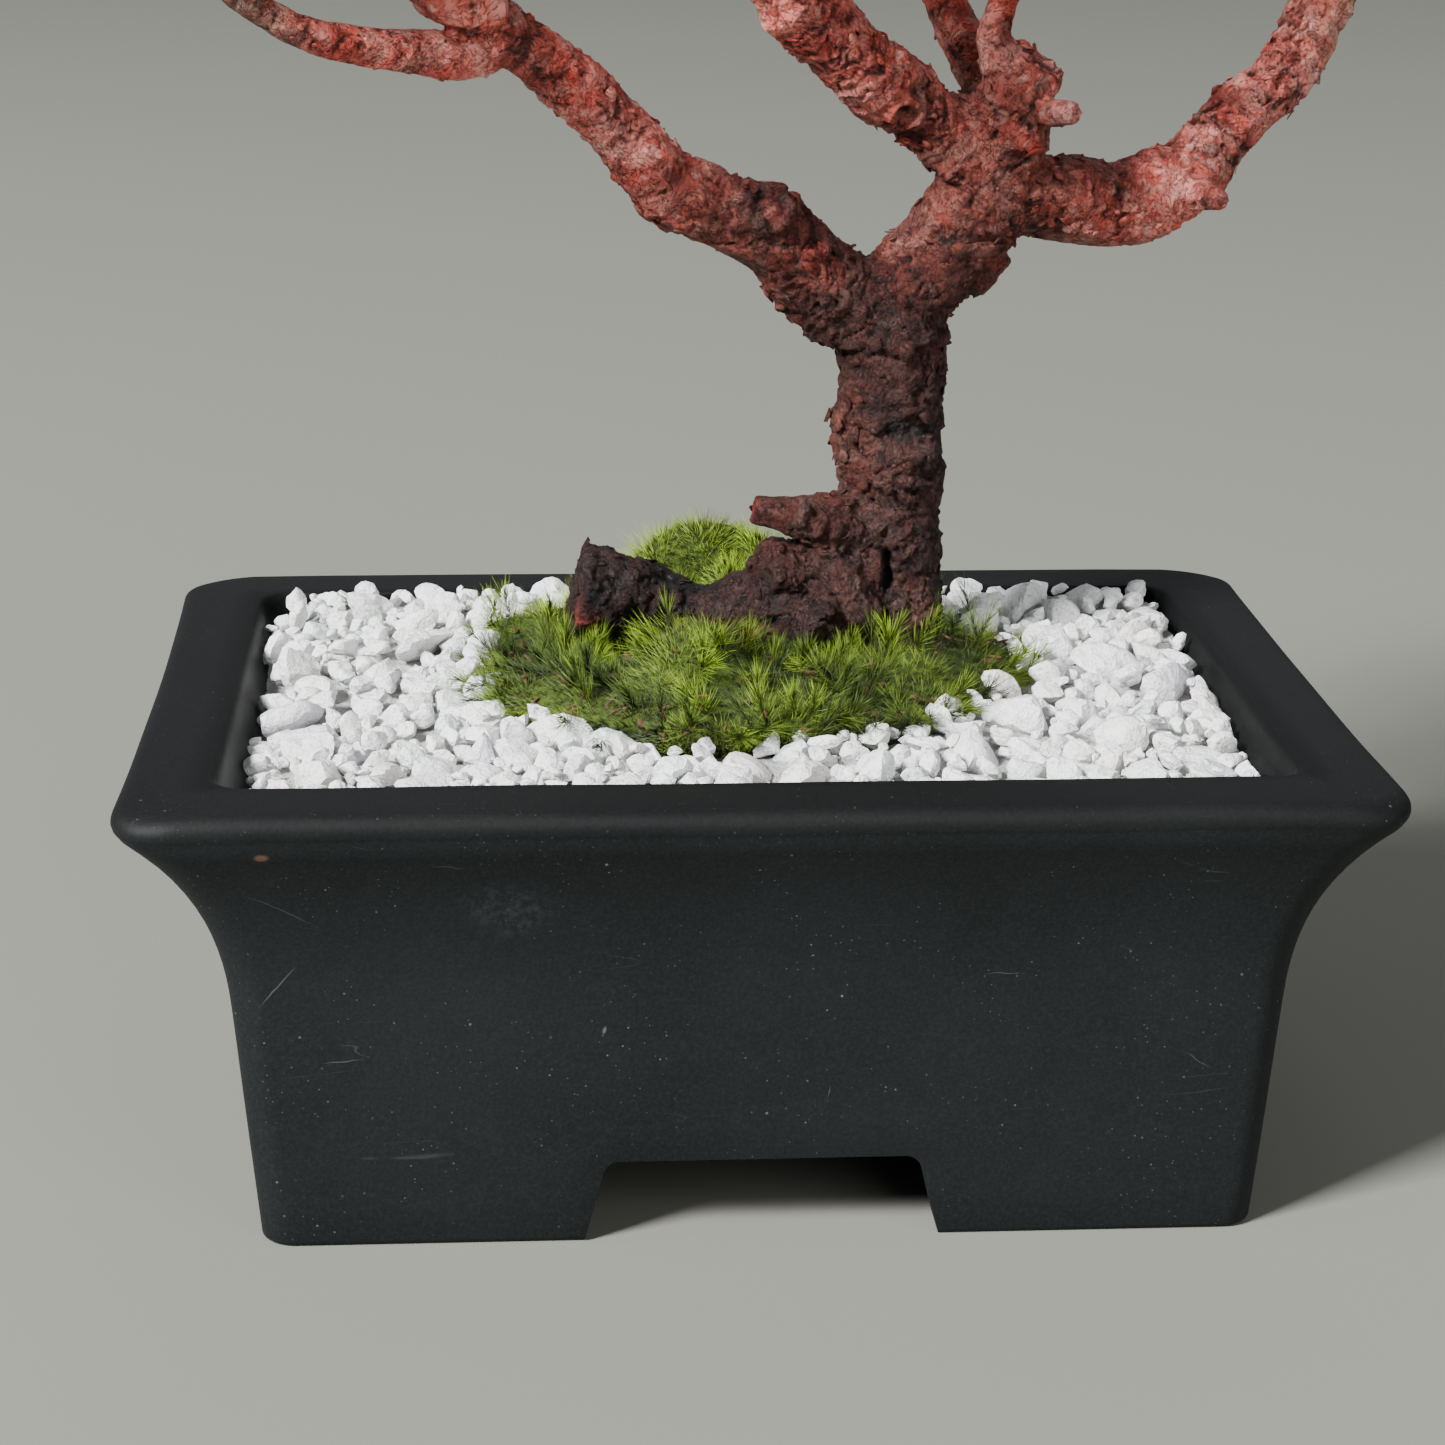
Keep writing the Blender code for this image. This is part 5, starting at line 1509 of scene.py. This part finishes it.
def local_radii(mesh, places, normals):
    """Half the thickness of the wood under each point, in metres."""
    tree = BVHTree.FromPolygons([vert.co for vert in mesh.vertices],
                                [face.vertices for face in mesh.polygons])
    radii = np.empty(len(places))
    for i, (place, normal) in enumerate(zip(places, normals)):
        distance = tree.ray_cast(place - normal * 0.02 * MM, -normal)[3]
        radii[i] = HIDDEN_RADIUS if distance is None else 0.5 * distance
    return np.clip(radii, *WOOD_RADII)


def limb_centres(mesh, places, normals, radii):
    """Middle of the limb under each point, evened out over the mesh, in metres."""
    edges = np.empty(2 * len(mesh.edges), dtype=np.int32)
    mesh.edges.foreach_get("vertices", edges)
    a, b = edges.reshape(-1, 2).T
    count = len(places)
    shared = np.bincount(a, minlength=count) + np.bincount(b, minlength=count)
    centres = places - normals * radii[:, None]
    for _ in range(CENTRE_SMOOTHING):
        total = np.zeros_like(centres)
        for axis in range(3):
            total[:, axis] = np.bincount(a, centres[b, axis], count)
            total[:, axis] += np.bincount(b, centres[a, axis], count)
        centres = total / shared[:, None]
    return centres


def flakes(places, normals, tones, radii, rng):
    """Thin bark flakes, each held at one edge and lifted at the other."""
    rim = FLAKE_RIM
    parts = []
    for i in rng.choice(len(places), FLAKES_PER_SECTION, replace=False):
        normal = normals[i]
        side = np.cross(normal, rng.normal(0, 1, 3))
        side = side / np.linalg.norm(side)
        across = np.cross(normal, side)
        scale = min(1.0, radii[i] / (4.5 * MM))
        long = rng.uniform(*FLAKE_LENGTH) * MM * scale
        wide = long * rng.uniform(0.5, 0.9)
        lift = rng.uniform(*FLAKE_LIFT) * MM * scale
        turns = math.tau * (np.arange(rim) + rng.uniform(-0.25, 0.25, rim)) / rim
        stretch = rng.uniform(0.7, 1.15, rim)
        u = np.cos(turns) * stretch
        v = np.sin(turns) * stretch
        raise_by = 0.05 * MM + lift * ((u + 1) / 2) ** 2 - (v * wide) ** 2 / (2 * radii[i])
        top = places[i] + side * (u * long)[:, None] + across * (v * wide)[:, None]
        top = top + normal * raise_by[:, None]
        middle = places[i] + normal * (0.1 * MM + lift * 0.25)
        thick = normal * FLAKE_THICKNESS
        points = np.vstack([top, middle, top - thick, middle - thick])
        low = rim + 1
        triangles = []
        for k in range(rim):
            n = (k + 1) % rim
            triangles += [(k, n, rim), (low + n, low + k, low + rim)]
            triangles += [(k, low + k, low + n), (k, low + n, n)]
        tone = np.tile(tones[i] * rng.uniform(0.5, 1.25), (len(points), 1))
        relief = np.full(len(points), rng.uniform(0.55, 0.95))
        parts.append((points, np.array(triangles), {"tone": tone, "relief": relief}))
    return parts


def make_wood():
    """Trunk, limbs and crown wood with flaking bark."""
    material = bark_material()
    rng = np.random.default_rng(SEED + 3)
    for name, low, high, voxel in WOOD_SECTIONS:
        mesh = wood_section(name, low, high, voxel)
        places = [vert.co.copy() for vert in mesh.vertices]
        normals = [vert.normal.copy() for vert in mesh.vertices]
        radii = local_radii(mesh, places, normals)
        shrink = WOOD_SMOOTHING * SMOOTH_SHARE * (voxel * MM) ** 2 / 4 / radii
        centres = limb_centres(mesh, np.array(places), np.array(normals), radii)
        moved = np.empty((len(places), 3))
        relief = np.empty(len(places))
        tones = np.empty((len(places), 3))
        for i, (place, normal) in enumerate(zip(places, normals)):
            depth = clamped((radii[i] / MM - 1.0) / 4.5, 0.12)
            young = clamped((place.z / MM - 158) / 40)
            depth *= 1 - 0.45 * young
            height, raised, shade = bark_height(place, Vector(centres[i]), depth)
            feature = feature_height(place)
            height = height + (feature + sleeve_height(place)) * min(1.0, 2 * depth)
            moved[i] = place + normal * (height * MM + shrink[i])
            # The relief also sets the painted shade and light of the bark's material.
            relief[i] = clamped(raised + 0.3 * min(0.0, feature))
            tones[i] = layer_tone(bark_tone(place), raised, shade)
        mesh.vertices.foreach_set("co", moved.astype(np.float32).ravel())
        mesh.update()
        triangles = np.array(triangle_list(mesh))
        normals = np.array(normals)
        parts = [(moved, triangles, {"tone": tones, "relief": relief})]
        parts += flakes(moved, normals, tones, radii, rng)
        made = mesh_from_arrays(name, *join_arrays(parts))
        add_piece(name, made, material, "bark", "tree")


def triangle_list(mesh):
    """The corner numbers of a mesh's triangles."""
    mesh.calc_loop_triangles()
    corners = np.empty(3 * len(mesh.loop_triangles), dtype=np.int32)
    mesh.loop_triangles.foreach_get("vertices", corners)
    return corners.reshape(-1, 3)


def spray_foot(node, wood):
    """Where a CAD spray starts at the wood, and the way its shoot points."""
    points = [node.matrix_world @ vert.co for vert in node.data.vertices]
    groups = []
    for point in points:
        if wood.find_nearest(point)[3] >= FOOT_REACH:
            continue
        for group in groups:
            if (group[0] - point).length < FOOT_APART:
                group.append(point)
                break
        else:
            groups.append([point])
    ring = max(groups, key=len)
    start = sum(ring, Vector()) / len(ring)
    spread = np.array([point - start for point in ring])
    way = Vector(np.linalg.svd(spread)[2][2])
    if way.dot(sum(points, Vector()) / len(points) - start) < 0:
        way = -way
    return start, way


def shorten(feet, headings, lengths, low, high):
    """Needle lengths that keep every needle inside the frame's box and above the crown's floor."""
    for axis in range(3):
        run = np.where(np.abs(headings[:, axis]) < 1e-6, 1e-6, headings[:, axis])
        limit = np.where(run > 0, high[axis], low[axis])
        lengths = np.minimum(lengths, (limit - feet[:, axis]) / run)
    return lengths


def draw_needles(shoots, rng):
    """Feet and headings of the paired needles, turned round each shoot."""
    feet = []
    headings = []
    for start, way in shoots:
        side = way.orthogonal().normalized()
        first = rng.uniform(0, 360)
        for k in range(PAIRS_PER_SPRAY):
            share = (k + 0.5) / PAIRS_PER_SPRAY
            foot = start + way * SPRAY_SHOOT_LENGTH * (0.12 + 0.86 * share)
            turn = first + GOLDEN_ANGLE * k + rng.uniform(-NEEDLE_TURN, NEEDLE_TURN)
            opening = toward(*NEEDLE_SPREAD, share) + rng.uniform(-NEEDLE_SWAY, NEEDLE_SWAY)
            opening = math.radians(opening)
            around = Matrix.Rotation(math.radians(turn), 3, way) @ side
            middle = way * math.cos(opening) + around * math.sin(opening)
            apart = middle.cross(Vector(rng.normal(0, 1, 3))).normalized()
            apart *= math.tan(math.radians(PAIR_ANGLE))
            for sign in (-1, 1):
                feet.append(foot + apart * sign * MM)
                headings.append((middle + apart * sign).normalized())
    return np.array(feet), np.array(headings)


def make_needles(shoots, names, rng):
    """The needles of all sprays; gives the feet and headings of those that stand."""
    boxes = [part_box(name) for name in names]
    low = np.array([min(box[0][axis] for box in boxes) for axis in range(3)])
    high = np.array([max(box[1][axis] for box in boxes) for axis in range(3)])
    low[2] = CROWN_FLOOR
    feet, headings = draw_needles(shoots, rng)
    lengths = rng.uniform(*NEEDLE_LENGTH, len(feet))
    bends = rng.normal(0, NEEDLE_BEND, feet.shape) + (0, 0, NEEDLE_RISE)
    lengths = shorten(feet, unit(headings + bends), lengths, low, high)
    kept = lengths > NEEDLE_LEAST
    feet, headings, bends, lengths = feet[kept], headings[kept], bends[kept], lengths[kept]
    radii = np.full(len(feet), NEEDLE_RADIUS) * rng.uniform(0.88, 1.08, len(feet))
    points, triangles, along, owner = blades(feet, headings, bends, lengths, radii, 3, rng, 0.75, 0.38)
    greens = NEEDLE_GREEN * rng.uniform(0.65, 1.45, (len(feet), 1))
    greens[:, 0] *= rng.uniform(0.8, 1.5, len(feet))
    marks = {"along": along, "tint": greens[owner]}
    mesh = mesh_from_arrays("needles", points, triangles, marks)
    add_piece("needles", mesh, needle_material(), "needles", *names)
    return feet, headings


def scaly(points, depth, waves, starts):
    """Factors that draw the points of a round body in and out like overlapping scales."""
    ripple = 1 + depth * np.sin(waves + np.arctan2(points[:, 1], points[:, 0]) * starts)
    return ripple[:, None]


def make_shoots(shoots, feet, headings, names, rng):
    """Sheaths at the feet of the needles, and scaly shoots with buds."""
    lengths = np.full(len(feet), SHEATH_LENGTH)
    radii = np.full(len(feet), SHEATH_RADIUS)
    roots = feet - headings * 0.5 * MM
    sheaths = blades(roots, headings, 0 * headings, lengths, radii, 2, rng, 1.0, 0.5)
    parts = [tinted_part(*sheaths[:2], SHEATH_BROWN)]
    sphere, triangles = sphere_arrays(3)
    height = (sphere[:, 2] + 1) / 2
    for start, way in shoots:
        aim = np.array(way.to_track_quat("Z", "Y").to_matrix())
        stem = sphere.copy()
        stem[:, :2] *= scaly(sphere, 0.12, height * 40, 3) * SPRAY_SHOOT_RADIUS
        stem[:, 2] = (height * 1.04 - 0.03) * SPRAY_SHOOT_LENGTH / MM
        parts.append(tinted_part(stem * MM @ aim.T + np.array(start), triangles, SHOOT_BROWN))
        for bud in range(rng.integers(1, 4)):
            lean = way + Vector(rng.normal(0, 0.3, 3)) * (bud > 0)
            aim = np.array(lean.to_track_quat("Z", "Y").to_matrix())
            body = sphere * np.array((BUD_RADIUS, BUD_RADIUS, BUD_LENGTHS[bud > 0])) * MM
            body[:, :2] *= scaly(sphere, 0.08, sphere[:, 2] * 22, 4)
            foot = start + way * SPRAY_SHOOT_LENGTH * 0.98
            tip = np.array(foot + lean.normalized() * BUD_ADVANCE * MM)
            parts.append(tinted_part(body @ aim.T + tip, triangles, BUD_TAN))
    mesh = mesh_from_arrays("shoots_and_buds", *join_arrays(parts))
    add_piece("shoots_and_buds", mesh, shoot_material(), "needles", *names)


def make_sprays(wood):
    """Paired needles, their sheaths, and scaly shoots with buds."""
    rng = np.random.default_rng(SEED + 4)
    names = sorted(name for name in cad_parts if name.startswith("spray"))
    shoots = [spray_foot(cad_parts[name], wood) for name in names]
    feet, headings = make_needles(shoots, names, rng)
    make_shoots(shoots, feet, headings, names, rng)


def dress_cad(name, material):
    """Gives a CAD node that stays its finished material."""
    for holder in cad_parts[name].material_slots:
        holder.link = "OBJECT"
        holder.material = material


def make_camera():
    """The camera at the photograph's place and view."""
    yaw = math.radians(CAMERA_YAW)
    pitch = math.radians(CAMERA_PITCH)
    roll = math.radians(CAMERA_ROLL)
    forward = Vector((-math.sin(yaw) * math.cos(pitch), math.cos(yaw) * math.cos(pitch),
                      -math.sin(pitch)))
    right = Vector((math.cos(yaw), math.sin(yaw), 0))
    up = right.cross(forward)
    turned_right = math.cos(roll) * right + math.sin(roll) * up
    turned_up = math.cos(roll) * up - math.sin(roll) * right
    pose = Matrix((turned_right, turned_up, -forward)).transposed().to_4x4()
    pose.translation = Vector(CAMERA_PLACE) * MM
    camera = add_object("camera", bpy.data.cameras.new("camera"))
    camera.matrix_world = pose
    camera.data.sensor_fit = "HORIZONTAL"
    camera.data.sensor_width = SENSOR_WIDTH
    camera.data.lens = SENSOR_WIDTH * FOCAL_PIXELS / IMAGE_SIZE
    camera.data.clip_start = 0.01
    camera.data.clip_end = 50
    bpy.context.scene.camera = camera


def make_light(name, azimuth, elevation, side, power):
    """A soft square light that looks at the middle of the object."""
    turn = math.radians(azimuth)
    rise = math.radians(elevation)
    way = Vector((math.cos(turn) * math.cos(rise), math.sin(turn) * math.cos(rise), math.sin(rise)))
    light = bpy.data.lights.new(name, "AREA")
    light.size = side
    light.energy = power
    lamp = add_object(name, light)
    lamp.location = Vector(LIGHT_AIM) + way * LIGHT_DISTANCE
    lamp.rotation_euler = way.to_track_quat("Z", "Y").to_euler()


def make_stage():
    """The pale floor, the sky light and the lamps."""
    bm = bmesh.new()
    bmesh.ops.create_grid(bm, x_segments=1, y_segments=1, size=FLOOR_SIDE / 2)
    mesh = mesh_from_bmesh("floor", bm)
    mesh.materials.append(floor_material())
    add_object("floor", mesh)
    world = bpy.data.worlds.new("sky")
    world.use_nodes = True
    background = world.node_tree.nodes["Background"]
    background.inputs["Color"].default_value = (*SKY_COLOUR, 1)
    background.inputs["Strength"].default_value = SKY_STRENGTH
    bpy.context.scene.world = world
    for name, settings in LIGHTS.items():
        make_light(name, *settings)


def wood_tree():
    """A search tree over the CAD wood."""
    bm = cad_tree()
    found = BVHTree.FromBMesh(bm)
    bm.free()
    return found


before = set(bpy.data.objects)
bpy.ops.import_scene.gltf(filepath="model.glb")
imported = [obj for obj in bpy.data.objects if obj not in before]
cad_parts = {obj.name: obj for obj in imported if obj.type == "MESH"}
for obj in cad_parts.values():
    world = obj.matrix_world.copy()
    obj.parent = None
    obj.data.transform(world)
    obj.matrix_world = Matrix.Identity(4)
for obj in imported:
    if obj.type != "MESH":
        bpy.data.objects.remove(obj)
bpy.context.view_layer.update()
noise.seed_set(SEED)
wood = wood_tree()
make_camera()
make_stage()
make_pot()
make_chips()
make_moss_mat()
make_moss(wood)
make_litter(wood)
make_wood()
make_sprays(wood)
dress_cad("soil", soil_material())
for screen in ("drain_screen_left", "drain_screen_right"):
    dress_cad(screen, screen_material())
